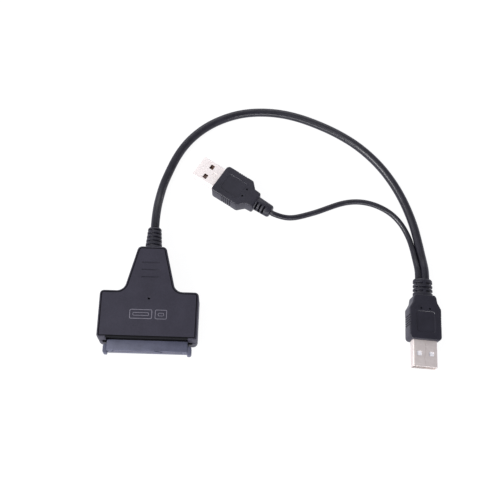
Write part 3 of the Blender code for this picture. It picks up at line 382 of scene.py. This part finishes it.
# Each plug is made along +Y from the tip of its shell, then laid down by its own matrix.
plug = {
    "front": 12.8, "block": 15.4, "taper": 3.2, "neck": 3.8, "relief": 8.7, "width": 15.8, "height": 7.8,
    "edge": 0.7,  # rounding that it lies on
}
plug["neckStart"] = plug["front"] + plug["block"] + plug["taper"]
plug["neckEnd"] = plug["neckStart"] + plug["neck"]
plug["end"] = plug["neckEnd"] + plug["relief"]


def plugPlace(tip, heading, roll):
    halfWidth = plug["width"] / 2 - plug["edge"]
    halfHeight = plug["height"] / 2 - plug["edge"]
    height = halfHeight * abs(math.cos(roll)) + halfWidth * abs(math.sin(roll)) + plug["edge"]
    turn = Matrix.Rotation(heading - math.pi / 2, 4, "Z") @ Matrix.Rotation(roll, 4, "Y")
    return Matrix.Translation(Vector((*tip, height)) * mm) @ turn


dataPlace = plugPlace((130.6, -33.9), math.radians(89.2), math.pi + math.radians(9.5))
powerPlace = plugPlace((19.8, 67.2), math.radians(-32.4), 0)


def outOfPlug(place, across, distances):
    return [(place @ (Vector((across, plug["end"] + out, 0)) * mm)) / mm for out in distances]


def easedRoute(points, step, parts=24, passes=12):
    # evenly spaced points on a smooth curve through the given ones, from parts short pieces for each span
    points = [Vector(p) for p in points]
    ends = [2 * points[0] - points[1], *points, 2 * points[-1] - points[-2]]
    fine = []
    for a, b, c, d in zip(ends, ends[1:], ends[2:], ends[3:]):
        for k in range(parts):
            t = k / parts
            bend = t * t * (a - 2.5 * b + 2 * c - 0.5 * d) + 0.5 * t ** 3 * (3 * b - 3 * c + d - a)
            fine.append(b + 0.5 * t * (c - a) + bend)
    fine.append(points[-1])
    run = [0.0]
    for first, second in zip(fine, fine[1:]):
        run.append(run[-1] + (second - first).length)
    count = max(2, round(run[-1] / step))
    spaced, at = [], 0
    for k in range(count + 1):
        wanted = run[-1] * k / count
        while at < len(fine) - 2 and run[at + 1] < wanted:
            at += 1
        share = (wanted - run[at]) / (run[at + 1] - run[at])
        spaced.append(fine[at].lerp(fine[at + 1], min(max(share, 0), 1)))
    for _ in range(passes):  # the ends keep their straight start
        inner = [(a + 2 * b + c) / 4 for a, b, c in zip(spaced[1:], spaced[2:], spaced[3:])]
        spaced = [*spaced[:2], *inner[:len(spaced) - 4], *spaced[-2:]]
    return spaced


def tube(points, radius, sides=28, drawnOut=0.06):  # drawnOut stretches the streaks along the cable
    shape = bmesh.new()
    alongCable = shape.verts.layers.float_vector.new("alongCable")
    side = (points[1] - points[0]).cross(Vector((0, 0, 1))).normalized()
    rows, run = [], 0.0
    for i, point in enumerate(points):
        ahead = (points[min(i + 1, len(points) - 1)] - points[max(i - 1, 0)]).normalized()
        side = (side - ahead * side.dot(ahead)).normalized()
        over = ahead.cross(side)
        row = []
        for k in range(sides):
            angle = math.tau * k / sides
            across, up = radius * math.cos(angle), radius * math.sin(angle)
            vert = shape.verts.new(point + side * across + over * up)
            vert[alongCable] = Vector((run * drawnOut, across, up)) * mm
            row.append(vert)
        rows.append(row)
        if i + 1 < len(points):
            run += (points[i + 1] - point).length
    for low, high in zip(rows, rows[1:]):
        for i in range(sides):
            shape.faces.new((low[i], low[(i + 1) % sides], high[(i + 1) % sides], high[i]))
    shape.faces.new(rows[0][::-1])
    shape.faces.new(rows[-1])
    bmesh.ops.recalc_face_normals(shape, faces=shape.faces)
    return shape


mainWay = [
    (0, 32.2, 6.2), (0, 36.9, 5.9), (0.4, 45.0, 4.4), (1.2, 51.3, 2.8), (2.2, 56.6, 2.25), (3.7, 61.4, 2.25),
    (8.0, 72.6, 2.25), (12.9, 81.1, 2.25), (19.0, 87.9, 2.25), (25.8, 93.1, 2.25), (33.7, 97.1, 2.25),
    (42.0, 99.65, 2.25), (51.5, 100.62, 2.25), (61.1, 100.05, 2.25), (70.6, 97.9, 2.25), (80.1, 94.4, 2.25),
    (89.6, 89.9, 2.25), (99.0, 84.0, 2.25), (106.9, 77.2, 2.25), (113.9, 69.2, 2.25), (120.1, 59.5, 2.25),
    (124.6, 49.9, 2.25), (128.1, 39.7, 2.25), (129.9, 31.9, 2.25), (131.2, 24.6, 2.6), (132.0, 19.1, 3.6),
]
powerWay = [
    (128.4, 19.0, 4.0), (127.6, 25.2, 2.6), (125.95, 32.6, 1.55), (122.55, 39.8, 1.45), (117.8, 45.5, 1.45),
    (111.6, 49.4, 1.45), (105.2, 51.5, 1.45), (99.0, 51.9, 1.45), (92.8, 50.8, 1.45), (86.6, 48.4, 1.45),
    (80.4, 45.7, 1.45), (74.2, 43.6, 1.45), (69.3, 42.0, 1.8), (64.8, 41.3, 2.6),
]
mainEnd = outOfPlug(dataPlace, -1.25, (4.8, 0.3))
powerStart = outOfPlug(dataPlace, 2.35, (0.3, 4.8))
powerEnd = outOfPlug(powerPlace, 0, (2.6, 0.3))
cables = {
    "mainCable": {"radius": 2.13, "way": [*mainWay, *mainEnd], "node": "main_cable"},
    "powerCable": {"radius": 1.37, "way": [*powerStart, *powerWay, *powerEnd], "node": "power_cable"},
}
for name, cable in cables.items():
    cable["path"] = easedRoute(cable["way"], 1.0)
    cable["length"] = sum((b - a).length for a, b in zip(cable["path"], cable["path"][1:]))
    shape = tube(cable["path"], cable["radius"])
    cable["piece"] = addPiece(name, shape, jacketPvc, [cable["node"]])
    print(name, round(cable["length"], 1), "mm long, lowest", round(min(p.z for p in cable["path"]), 2))


sleeve = {
    "startRounding": 0.15, "lipRounding": 0.14, "footRounding": 0.12, "draft": 0.06, "steps": 64,
    "spineRounding": 0.1, "spineOverlap": 0.12, "spineInset": 0.08,
    "slotRounding": 0.12, "slotFrom": (0.1, -0.7), "slotTo": 6,  # the slots are open on one side and above
}


def strainRelief(look):
    # a turned profile with grooves right round, some bridged by a spine above and below, or slots on one side
    start, end, depth, half = look["start"], look["end"], look["depth"], look["groove"] / 2
    base, tip, axis = look["base"], look["tip"], look.get("axis", 0)
    rings, bridged, slots = [look.get(kind, []) for kind in ("rings", "bridged", "slots")]

    def reach(level, which):
        return base[which] + (tip[which] - base[which]) * (level - start) / (end - start)

    profile = [(0, start, 0), (base[0], start, sleeve["startRounding"])]
    for groove in sorted(rings + bridged):
        for side in (-1, 1):
            lip, foot = groove + side * half, groove + side * (half - sleeve["draft"])
            corners = [
                (reach(lip, 0), lip, sleeve["lipRounding"]),
                (reach(foot, 0) - depth, foot, sleeve["footRounding"])]
            profile += corners if side < 0 else corners[::-1]
    profile += [(tip[0], end, look["dome"]), (0, end, 0)]
    shape = bmesh.new()
    verts = [shape.verts.new((x, y, 0)) for x, y, radius in profile]
    for first, second in zip(verts, verts[1:]):
        shape.edges.new((first, second))
    roundCorners(shape, verts, [radius for x, y, radius in profile], 3)
    bmesh.ops.spin(
        shape, geom=shape.verts[:] + shape.edges[:], cent=(0, 0, 0), axis=(0, 1, 0), angle=math.tau,
        steps=sleeve["steps"], use_merge=True)
    bmesh.ops.remove_doubles(shape, verts=shape.verts, dist=1e-4)
    bmesh.ops.scale(shape, vec=(1, 1, (base[1] + tip[1]) / (base[0] + tip[0])), verts=shape.verts)
    bmesh.ops.translate(shape, vec=(0, 0, axis), verts=shape.verts)
    bmesh.ops.recalc_face_normals(shape, faces=shape.faces)
    spines = []
    for level in bridged:
        tall, wide = reach(level, 1) - sleeve["spineInset"], half + sleeve["spineOverlap"]
        left, right = look["spine"]
        low, high = (left, level - wide, axis - tall), (right, level + wide, axis + tall)
        spines.append(bar(low, high, sleeve["spineRounding"], 2))
    cutters = []
    for level in slots:
        (left, down), far = sleeve["slotFrom"], sleeve["slotTo"]
        low, high = (left, level - half, axis + down), (far, level + half, axis + far)
        cutters.append(bar(low, high, sleeve["slotRounding"], 2))
    return combined(combined(shape, spines, "UNION"), cutters)


headRelief = {
    "start": 18.7, "end": 31.9, "base": (4.35, 4.35), "tip": (3.3, 3.3), "dome": 1.0, "axis": 6.2,
    "groove": 0.85, "depth": 0.9,
}
headRelief["rings"] = [headRelief["end"] - out for out in (1.7, 3.7, 5.7, 7.7, 9.7)]
addPiece(
    "headStrainRelief", strainRelief(headRelief), shotPvc, ["head_strain_relief"], sharp=40)
print("strain relief ready")


head = {
    "front": -26.3, "lip": -25.85, "shoulder": -2.5, "back": 20.2,  # the upper cover's lip stands back
    "halfWidth": 23.5, "neckFoot": 12.3, "neckTop": 6.7, "topCorner": 1.3, "baseCorner": 2.2,
    "top": 12.375, "seam": 6.2, "gap": 0.1, "seamEdge": 0.3, "edgeRounding": 0.65, "footRounding": 0.8,
    "wall": 1.6, "floor": 1.3, "cavityTop": 10.8, "cavityFront": -21.7,
    "skirt": 0.9, "skirtFrom": 2, "skirtTop": 7.1,  # the base cover's rim reaches up inside the upper cover
    "rebate": 0.8, "rebateTop": 7.3,  # the room for it there
    # the well over the connector, the opening that it passes through, and the openings for its ears
    "pocket": 19.3, "pocketCeiling": 11.65, "pocketBack": -23.3, "pocketFloor": 6.5,
    "opening": 19.35, "openingTop": 6.8, "openingBack": -20.6, "openingFloorBack": -23.7,
    "earOuter": 20.95, "earInner": 18.9, "earBack": -24.2, "earTop": 7.1, "earFloor": 5.3,
    "grooveInset": 0.75, "grooveWidth": 0.45, "grooveDepth": 0.3,
    # the three grip lines and the light hole, both placed from the front
    "gripStart": 30.8, "gripPitch": 3.7, "gripSize": (8.8, 0.55, 0.26), "gripDepth": 0.3, "gripFoot": 0.15,
    "lightHole": 20.05, "holeRadius": 0.5, "sinkRadii": (0.45, 0.85), "sinkDepth": 0.25,
    "bossFrom": 17.6, "bossTo": 21.2, "bossRadius": 4.45,  # for the strain relief
}


def headPlan(front, frontRadius):
    return bothSides([
        (head["halfWidth"], front, frontRadius), (head["halfWidth"], head["shoulder"], 2.0),
        (head["neckFoot"], head["shoulder"], 4.2), (head["neckTop"], head["back"], 2.2),
    ])


topPlan = headPlan(head["lip"], head["topCorner"])
basePlan = headPlan(head["front"], head["baseCorner"])
clearFront = head["front"] - 1  # where cutters start, well clear of the covers


def reliefBoss():
    return pin((0, head["bossFrom"], head["seam"]), (0, head["bossTo"], head["seam"]), head["bossRadius"])


def topCover():
    seam, top = head["seam"] + head["gap"], head["top"]
    shell = plate(topPlan, seam, top, (head["seamEdge"], 1), (head["edgeRounding"], 5), 8)
    pocket, opening = head["pocket"], head["opening"]
    tools = [
        plate(basePlan, seam - 1, head["rebateTop"], inset=head["rebate"]),
        plate(basePlan, seam - 1, head["cavityTop"], inset=head["wall"], behind=head["cavityFront"]),
        frameRing(topPlan, head["grooveInset"], head["grooveWidth"], top - head["grooveDepth"], top + 1, 8),
        bar((-pocket, clearFront, head["pocketFloor"]), (pocket, head["pocketBack"], head["pocketCeiling"])),
        bar((-opening, clearFront, seam - 1), (opening, head["openingBack"], head["openingTop"])),
        reliefBoss(),
    ]
    for ends in ((-head["earOuter"], -head["earInner"]), (head["earInner"], head["earOuter"])):
        tools.append(bar((ends[0], clearFront, seam - 1), (ends[1], head["earBack"], head["earTop"])))
    gripWidth, gripLength, gripRadius = head["gripSize"]
    for i in range(3):
        middle = (0, head["front"] + head["gripStart"] + i * head["gripPitch"])
        line = rectangle(gripWidth, gripLength, gripRadius, middle)
        tools.append(plate(line, top - head["gripDepth"], top + 1, (head["gripFoot"], 2), steps=4))
    spot = (0, head["front"] + head["lightHole"])
    tools.append(pin((*spot, 10), (*spot, 13), head["holeRadius"]))
    tools.append(pin((*spot, top - head["sinkDepth"]), (*spot, top + 0.1), *head["sinkRadii"]))
    return divided(combined(shell, tools), [((x, 0, 0), (1, 0, 0)) for x in (-pocket, pocket)])


def baseCover():
    seam, opening = head["seam"] - head["gap"], head["opening"]
    shell = plate(basePlan, 0, seam, (head["footRounding"], 5), (head["seamEdge"], 1), 8)
    skirt = plate(basePlan, head["skirtFrom"], head["skirtTop"], inset=head["skirt"])
    shell = combined(shell, [skirt], "UNION")
    return combined(shell, [
        plate(basePlan, head["floor"], 12, inset=head["wall"]),
        bar((-head["earOuter"], clearFront, head["earFloor"]), (head["earOuter"], head["earBack"], 12)),
        bar((-opening, clearFront, head["floor"]), (opening, head["openingFloorBack"], 9)),
        reliefBoss(),
    ])


# Three places painted black as shade: the edge groove, the well and the lip over it. Each leaves a few
# hundredths of a millimetre for rounding.
def inGroove(at, normal):  # the groove round the top, but not the grip lines, which are as deep
    floor = head["top"] - head["grooveDepth"]
    amongGrips = abs(at.x) < 6 and 0 < at.y < 14
    onWall = abs(normal.z) < 0.3
    return floor - 0.02 < at.z < head["top"] - 0.02 and not amongGrips and (onWall or at.z < floor + 0.02)


def inWell(at, front):
    return abs(at.x) < 21.2 and front + 0.03 < at.y < -21 and at.z < head["pocketCeiling"] + 0.05


def onLip(at):
    inFront = at.y < head["lip"] + head["grooveInset"]
    return inFront and abs(at.x) < head["pocket"] and at.z > head["pocketCeiling"] - 0.05


topPiece = addPiece("headTopCover", topCover(), housingAbs, ["head_top_cover"])
# Painted shade: the top cover's groove, well and lip front are painted black where shade falls.
paintShadeWhere(
    topPiece, paintedShadeAbs, lambda at, normal: inGroove(at, normal) or inWell(at, head["lip"]) or onLip(at))
basePiece = addPiece("headBaseCover", baseCover(), housingAbs, ["head_base_cover"])
# Painted shade: the base cover's faces in the connector's well and ear notches are painted black.
paintShadeWhere(
    basePiece, paintedShadeAbs, lambda at, normal: inWell(at, head["front"]) and at.z > head["floor"] + 0.1)


# A generic pictogram of the connector's two openings, in fine raised lines.
symbolLook = {
    "place": 12.2, "low": 12.3, "high": 12.395, "radius": 0.7,  # place is from the head's front
    "frames": (  # width, length, across, line
        (10.6, 4.6, -3.4, 0.24), (7.6, 1.6, -3.4, 0.2), (5.6, 4.6, 6.1, 0.24), (2.8, 1.6, 6.1, 0.2)),
}


def symbolFrame(width, length, across, line):
    centre = (across, head["front"] + symbolLook["place"])
    plan = rectangle(width, length, min(symbolLook["radius"], length * 0.35), centre)
    return frameRing(plan, 0, line, symbolLook["low"], symbolLook["high"])


symbol = together(*[symbolFrame(*frameLook) for frameLook in symbolLook["frames"]])
addPiece("headPortSymbol", symbol, markAbs)
print("housing ready")


port = {
    "halfWidth": 19.05, "front": -30.5, "rear": -17.3, "bottom": 1.6, "top": 6.5, "rounding": 0.32,
    "slots": ((-16.73, 3.93), (6.23, 16.73)), "slotFloor": 3.8, "slotHeight": 1.4, "slotDepth": 6.4,
    "keyWidth": 1.1, "keyFrom": 0.3, "keyTo": 2.2,  # the notch at one end of each slot
    "lead": 0.3, "leadSlope": 0.29, "dip": 0.5, "dipHeight": 1.6,  # a dip between the slots
    "channelFront": -30.1, "channelLow": 3.3, "channelSide": 0.08,  # where the contacts lie
    "flange": ((-20.7, -24.1, 2.6), (20.7, -21.8, 5.5)),
    "wellLine": -25.3,  # behind it the body is painted black as the well's shade
}
ear = {
    "outer": 20.9, "inner": 18.85, "front": -31.75, "back": -27.3, "low": 2.55, "high": 6.2,
    "innerRadius": 0.5, "outerRadius": 1.05, "rim": (0.25, 3),
}


def receptacle():
    half, start, rear = port["halfWidth"], port["front"], port["rear"]
    body = bar((-half, start, port["bottom"]), (half, rear, port["top"]), port["rounding"])
    joins = [bar(*port["flange"])]
    rightEar = [
        (ear["inner"], ear["front"], ear["innerRadius"]), (ear["outer"], ear["front"], ear["outerRadius"]),
        (ear["outer"], ear["back"], ear["outerRadius"]), (ear["inner"], ear["back"], ear["innerRadius"]),
    ]
    leftEar = [(-x, y, radius) for x, y, radius in reversed(rightEar)]
    for corners in (leftEar, rightEar):
        joins.append(plate(corners, ear["low"], ear["high"], ear["rim"], ear["rim"]))
    solid = combined(body, joins, "UNION")
    tools = []
    floor, height, lead = port["slotFloor"], port["slotHeight"], port["lead"]
    back = start + port["slotDepth"]
    for left, right in port["slots"]:
        tools.append(bar((left, start - 1, floor), (right, back, floor + height)))
        keySide = left + port["keyWidth"]
        tools.append(bar((left, start - 1, floor + port["keyFrom"]), (keySide, back, floor + port["keyTo"])))
        centre = ((left + right) / 2, -floor - height / 2)
        mouth = rectangle(right - left + 2 * lead, height + 2 * lead, 0, centre)
        tools.append(layAlongY(plate(mouth, start - 1, start + lead, over=(port["leadSlope"], 1))))
    dipLeft, dipRight = port["slots"][0][1], port["slots"][1][0]
    low, high = port["top"] - port["dipHeight"], port["top"] + 1
    tools.append(bar((dipLeft, start - 1, low), (dipRight, start + port["dip"], high)))
    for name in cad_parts:
        if name.startswith(("sata_signal", "sata_power")):
            low, high = [Vector(corner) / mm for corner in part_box(name)]
            near = (low.x - port["channelSide"], port["channelFront"], port["channelLow"])
            tools.append(bar(near, (high.x + port["channelSide"], rear + 1, floor + 0.1)))
    return divided(combined(solid, tools), [((0, port["wellLine"], 0), (0, 1, 0))])


connector = addPiece("driveReceptacle", receptacle(), connectorLcp, ["sata_receptacle"])
# Painted shade: the connector's body behind the well line, inside the housing, is painted black.
paintShadeWhere(connector, paintedShadeAbs, lambda at, normal: at.y > port["wellLine"] and at.z > 2.6)
print("connector ready")


shell = {
    "width": 12.0, "height": 4.5, "sheet": 0.3, "bend": 0.65, "length": 18.7, "rim": (0.14, 3),
    "window": (2.5, 2.2, 0.22), "windowPlace": (3.0, 6.3),
    "dimple": (2.3, 2.3, 0.8), "dimplePlace": 9.7, "dimpleLine": 0.4, "dimpleDepth": 0.2,
    "seamHalf": 0.06, "seamSpan": (-3, -2.1),  # the slit where the sheet's two ends meet, and its way
    "seam": [
        (0, -1), (0, 3.4), (0.5, 3.7), (0.5, 4.9), (0, 5.2),
        (0, 8.6), (-0.5, 8.9), (-0.5, 10.1), (0, 10.4), (0, 19.5)],
}


def plugShell():
    wide, tall, sheet = shell["width"], shell["height"], shell["sheet"]
    body = layAlongY(plate(rectangle(wide, tall, shell["bend"]), 0, shell["length"], shell["rim"]))
    inside = rectangle(wide - 2 * sheet, tall - 2 * sheet, shell["bend"] - sheet)
    tools = [layAlongY(plate(inside, -1, shell["length"] + 1))]
    across, along = shell["windowPlace"]
    for side in (-1, 1):
        tools.append(plate(rectangle(*shell["window"], (side * across, along)), -4, 4, steps=4))
    half = shell["seamHalf"]
    slit = [(x + half, y, 0) for x, y in shell["seam"]] + [(x - half, y, 0) for x, y in shell["seam"][::-1]]
    tools.append(plate(slit, *shell["seamSpan"]))
    spot = rectangle(*shell["dimple"], (0, shell["dimplePlace"]))
    tools.append(frameRing(spot, 0, shell["dimpleLine"], tall / 2 - shell["dimpleDepth"], tall / 2 + 1))
    return combined(body, tools)


def flared(corners, low, high, spread, centre):  # a cutter that opens out towards its upper end
    shape = plate(corners, low, high)
    upper = [vert for vert in shape.verts if onLevel(vert, high)]
    place = Matrix.Translation((-centre[0], -centre[1], 0))
    bmesh.ops.scale(shape, vec=(spread, spread, 1), space=place, verts=upper)
    return shape


moulding = {
    "frontCorner": 1.8, "backCorner": 1.6, "taperCorner": 0.9, "bore": (12.1, 4.6, 0.68), "boreEnd": 27,
    "panel": (8.8, 10.1, 1.0), "panelPlace": 8.75, "panelDepth": 0.28, "panelSpread": 1.09,  # from its front
    "hole": (2.15, 15.3), "holeRadius": 0.5,
    "grips": 5, "gripPlace": 9.3, "gripPitch": 1.15, "gripDepth": 0.5, "gripHalf": 0.24, "gripRounding": 0.12,
    "reliefOverlap": 0.8,
}


def plugMoulding(look):
    front, wall, half = plug["front"], plug["width"] / 2, plug["height"] / 2
    plan = bothSides([
        (wall, front, moulding["frontCorner"]), (wall, front + plug["block"], moulding["backCorner"]),
        (look["neck"][0] / 2, plug["neckStart"], moulding["taperCorner"]),
        (look["neck"][1] / 2, plug["neckEnd"], look["neckRadius"]),
    ])
    body = plate(plan, -half, half, (plug["edge"], 5), (plug["edge"], 5))
    tools = [layAlongY(plate(rectangle(*moulding["bore"]), front - 1, moulding["boreEnd"]))]
    centre, depth = (0, front + moulding["panelPlace"]), moulding["panelDepth"]
    across, along = moulding["hole"]
    for face in (-1, 1):
        panelPlan = rectangle(*moulding["panel"], centre)
        panel = flared(panelPlan, half - depth, half + depth, moulding["panelSpread"], centre)
        if face < 0:
            turn = Matrix.Rotation(math.pi, 3, "Y")
            bmesh.ops.rotate(panel, cent=(0, 0, 0), matrix=turn, verts=panel.verts)
        tools.append(panel)
        for side in (-1, 1):
            spot = (side * across, front + along)
            start, end = (*spot, face * (half - 1)), (*spot, face * (half + 1))
            tools.append(pin(start, end, moulding["holeRadius"], sides=24))
    for side in (-1, 1):
        for i in range(moulding["grips"]):
            middle = front + moulding["gripPlace"] + (i - moulding["grips"] // 2) * moulding["gripPitch"]
            low = (side * wall - moulding["gripDepth"], middle - moulding["gripHalf"], -5)
            high = (side * wall + moulding["gripDepth"], middle + moulding["gripHalf"], 5)
            tools.append(bar(low, high, moulding["gripRounding"], 2))
    relief = look["relief"] | {"start": plug["neckEnd"] - moulding["reliefOverlap"], "end": plug["end"]}
    for kind in ("rings", "bridged", "slots"):
        relief[kind] = [plug["neckEnd"] + out for out in look.get(kind, [])]
    return together(combined(body, tools), strainRelief(relief))


def inDimple(at):
    wide, tall = shell["dimple"][:2]
    top = shell["height"] / 2
    inside = abs(at.x) < wide / 2 + 0.05 and abs(at.y - shell["dimplePlace"]) < tall / 2 + 0.05
    return inside and top - shell["dimpleDepth"] - 0.05 < at.z < top - 0.05


plugs = {
    "data": {
        "place": dataPlace, "metal": warmNickel, "insulator": whitePbt, "contact": goldFlash,
        "neck": (12.2, 10.9), "neckRadius": 1.7, "rings": [3.9], "bridged": [1.9, 5.9],  # from the neck's end
        "relief": {
            "base": (5.0, 3.4), "tip": (4.8, 3.1), "dome": 1.2, "groove": 1.1, "depth": 1.5,
            "spine": (-0.75, 0.75)},
    },
    "power": {
        # The power plug's shell takes the nickel painted brighter, as lit.
        "place": powerPlace, "metal": brightNickel, "insulator": brownPbt, "contact": dullCopper,
        "neck": (9.2, 8.6), "neckRadius": 1.0, "slots": [1.3, 3.3, 5.3],
        "relief": {"base": (3.6, 3.4), "tip": (3.2, 3.0), "dome": 1.1, "groove": 1.0, "depth": 0},
    },
}
for key, look in plugs.items():
    word, place = key + "_plug", look["place"]
    look["shell"] = addPiece(
        key + "PlugShell", plugShell(), look["metal"], [word + "_shell"], place)
    # Painted shade: the dimple's ring groove takes the darker nickel.
    paintShadeWhere(look["shell"], burnishedNickel, lambda at, normal: inDimple(at))
    look["moulding"] = addPiece(
        key + "PlugMoulding", plugMoulding(look), shotPvc, [word + "_moulding"], place)
    shown = (word + "_shell", word + "_moulding")
    look["inner"] = [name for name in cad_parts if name.startswith(word) and name not in shown]
    print(key, "plug ready")


# The CAD's own nodes that stay in view get the real finishes.
def finishOf(name):
    if "plug_insulator" in name:
        return plugs[name.split("_")[0]]["insulator"]
    if "plug_contact" in name:
        return plugs[name.split("_")[0]]["contact"]
    if "head_wire" in name:
        return wirePvc[name.split("_")[-1]]
    kinds = {
        "inner_mould": milkyPe, "sata_": goldFlash, "bridge_board": maskedLaminate,
        "bridge_chip": chipEpoxy, "voltage_regulator": chipEpoxy, "crystal": tinPlate,
        "capacitor": tinPlate, "activity_light": castResin,
    }
    return next((finish for word, finish in kinds.items() if word in name), None)


for name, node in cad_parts.items():
    if not node.hide_render:
        for holder in node.material_slots:
            holder.material = finishOf(name)

cordFacts = {"mainCable": ((0, 0.0322, 0.0062), "data"), "powerCable": (tuple(powerStart[0] * mm), "power")}
for name, (start, key) in cordFacts.items():
    cable = cables[name]


paper = {
    "diffuse": 0.8, "shownDiffuse": 0.12, "shownGlow": 0.94, "mirroredTint": "#F4F3FF", "mirroredGlow": 0.9,
}


def floorPaint():  # white to the camera, faintly violet in reflections, and pale to bouncing light
    made = bpy.data.materials.new("paleFloor")
    made.use_nodes = True
    tree = made.node_tree
    tree.nodes.clear()
    rays = addNode(tree, "ShaderNodeLightPath").outputs
    views = {0: rays["Is Camera Ray"], 1: rays["Is Transmission Ray"]}
    seen = addNode(tree, "ShaderNodeMath", {"operation": "MAXIMUM"}, views)
    matt = addNode(tree, "ShaderNodeBsdfDiffuse", {"Color": (*[paper["diffuse"]] * 3, 1)})
    thin = addNode(tree, "ShaderNodeBsdfDiffuse", {"Color": (*[paper["shownDiffuse"]] * 3, 1)})
    white = addNode(tree, "ShaderNodeEmission", {"Color": (1, 1, 1, 1), "Strength": paper["shownGlow"]})
    shown = addNode(tree, "ShaderNodeAddShader", links={0: thin.outputs[0], 1: white.outputs[0]})
    settings = {"Color": toLinear(paper["mirroredTint"]), "Strength": paper["mirroredGlow"]}
    mirrored = addNode(tree, "ShaderNodeEmission", settings)
    links = {0: rays["Is Glossy Ray"], 1: matt.outputs[0], 2: mirrored.outputs[0]}
    first = addNode(tree, "ShaderNodeMixShader", links=links)
    links = {0: seen.outputs[0], 1: first.outputs[0], 2: shown.outputs[0]}
    second = addNode(tree, "ShaderNodeMixShader", links=links)
    addNode(tree, "ShaderNodeOutputMaterial", links={"Surface": second.outputs[0]})
    return made


ground = bmesh.new()
bmesh.ops.create_grid(ground, x_segments=1, y_segments=1, size=1.5)
floorMesh = meshOf(ground)
floorMesh.materials.append(floorPaint())
floor = bpy.data.objects.new("paleFloor", floorMesh)
floor.location = (0.05, 0.02, -0.00005)
bpy.context.scene.collection.objects.link(floor)

# The world is a pale sky, dimmer overhead, and plain white where the camera sees it.
studio = {"horizon": 0.9, "zenith": 0.28, "fadeFrom": 0.1, "fadeTo": 0.75, "tint": "#F4F3FF"}
world = bpy.context.scene.world or bpy.data.worlds.new("studio")
bpy.context.scene.world = world
world.use_nodes = True
tree = world.node_tree
tree.nodes.clear()
rays = addNode(tree, "ShaderNodeLightPath").outputs
toward = addNode(tree, "ShaderNodeTexCoord").outputs["Generated"]
height = addNode(tree, "ShaderNodeSeparateXYZ", links={0: toward}).outputs["Z"]
settings = {
    "From Min": studio["fadeFrom"], "From Max": studio["fadeTo"],
    "To Min": studio["horizon"], "To Max": studio["zenith"],
}
fade = addNode(tree, "ShaderNodeMapRange", settings, {"Value": height})
sky = addNode(
    tree, "ShaderNodeBackground", {"Color": toLinear(studio["tint"])}, {"Strength": fade.outputs[0]})
white = addNode(tree, "ShaderNodeBackground", {"Color": (1, 1, 1, 1), "Strength": 1.0})
views = {0: rays["Is Camera Ray"], 1: rays["Is Transmission Ray"]}
seen = addNode(tree, "ShaderNodeMath", {"operation": "MAXIMUM"}, views)
links = {0: seen.outputs[0], 1: sky.outputs[0], 2: white.outputs[0]}
mixed = addNode(tree, "ShaderNodeMixShader", links=links)
addNode(tree, "ShaderNodeOutputWorld", links={"Surface": mixed.outputs[0]})

lamps = {
    "keySoftbox": {"place": (-0.70, -0.26, 0.70), "size": (0.36, 0.36), "watts": 8.0},
    "backSoftbox": {"place": (0.0, 0.60, 0.36), "size": (0.6, 0.25), "watts": 0.8},
    "frontSoftbox": {"place": (-0.08, -0.60, 0.16), "size": (1.1, 0.12), "watts": 3.6},
    "leftSoftbox": {"place": (-0.16, 0.04, 0.62), "size": (0.3, 0.3), "watts": 0.36},
    "topSoftbox": {"place": (0.13, 0.33, 0.6), "size": (0.3, 0.3), "watts": 0.11},
}
lookedAt = Vector((0.05, 0.03, 0))
for name, look in lamps.items():
    data = bpy.data.lights.new(name, "AREA")
    data.shape = "RECTANGLE"
    data.size, data.size_y = look["size"]
    data.energy = look["watts"]
    lamp = bpy.data.objects.new(name, data)
    lamp.location = look["place"]
    lamp.rotation_euler = (Vector(look["place"]) - lookedAt).to_track_quat("Z", "Y").to_euler()
    bpy.context.scene.collection.objects.link(lamp)
print("studio ready")

bpy.context.scene.view_settings.view_transform = "Standard"
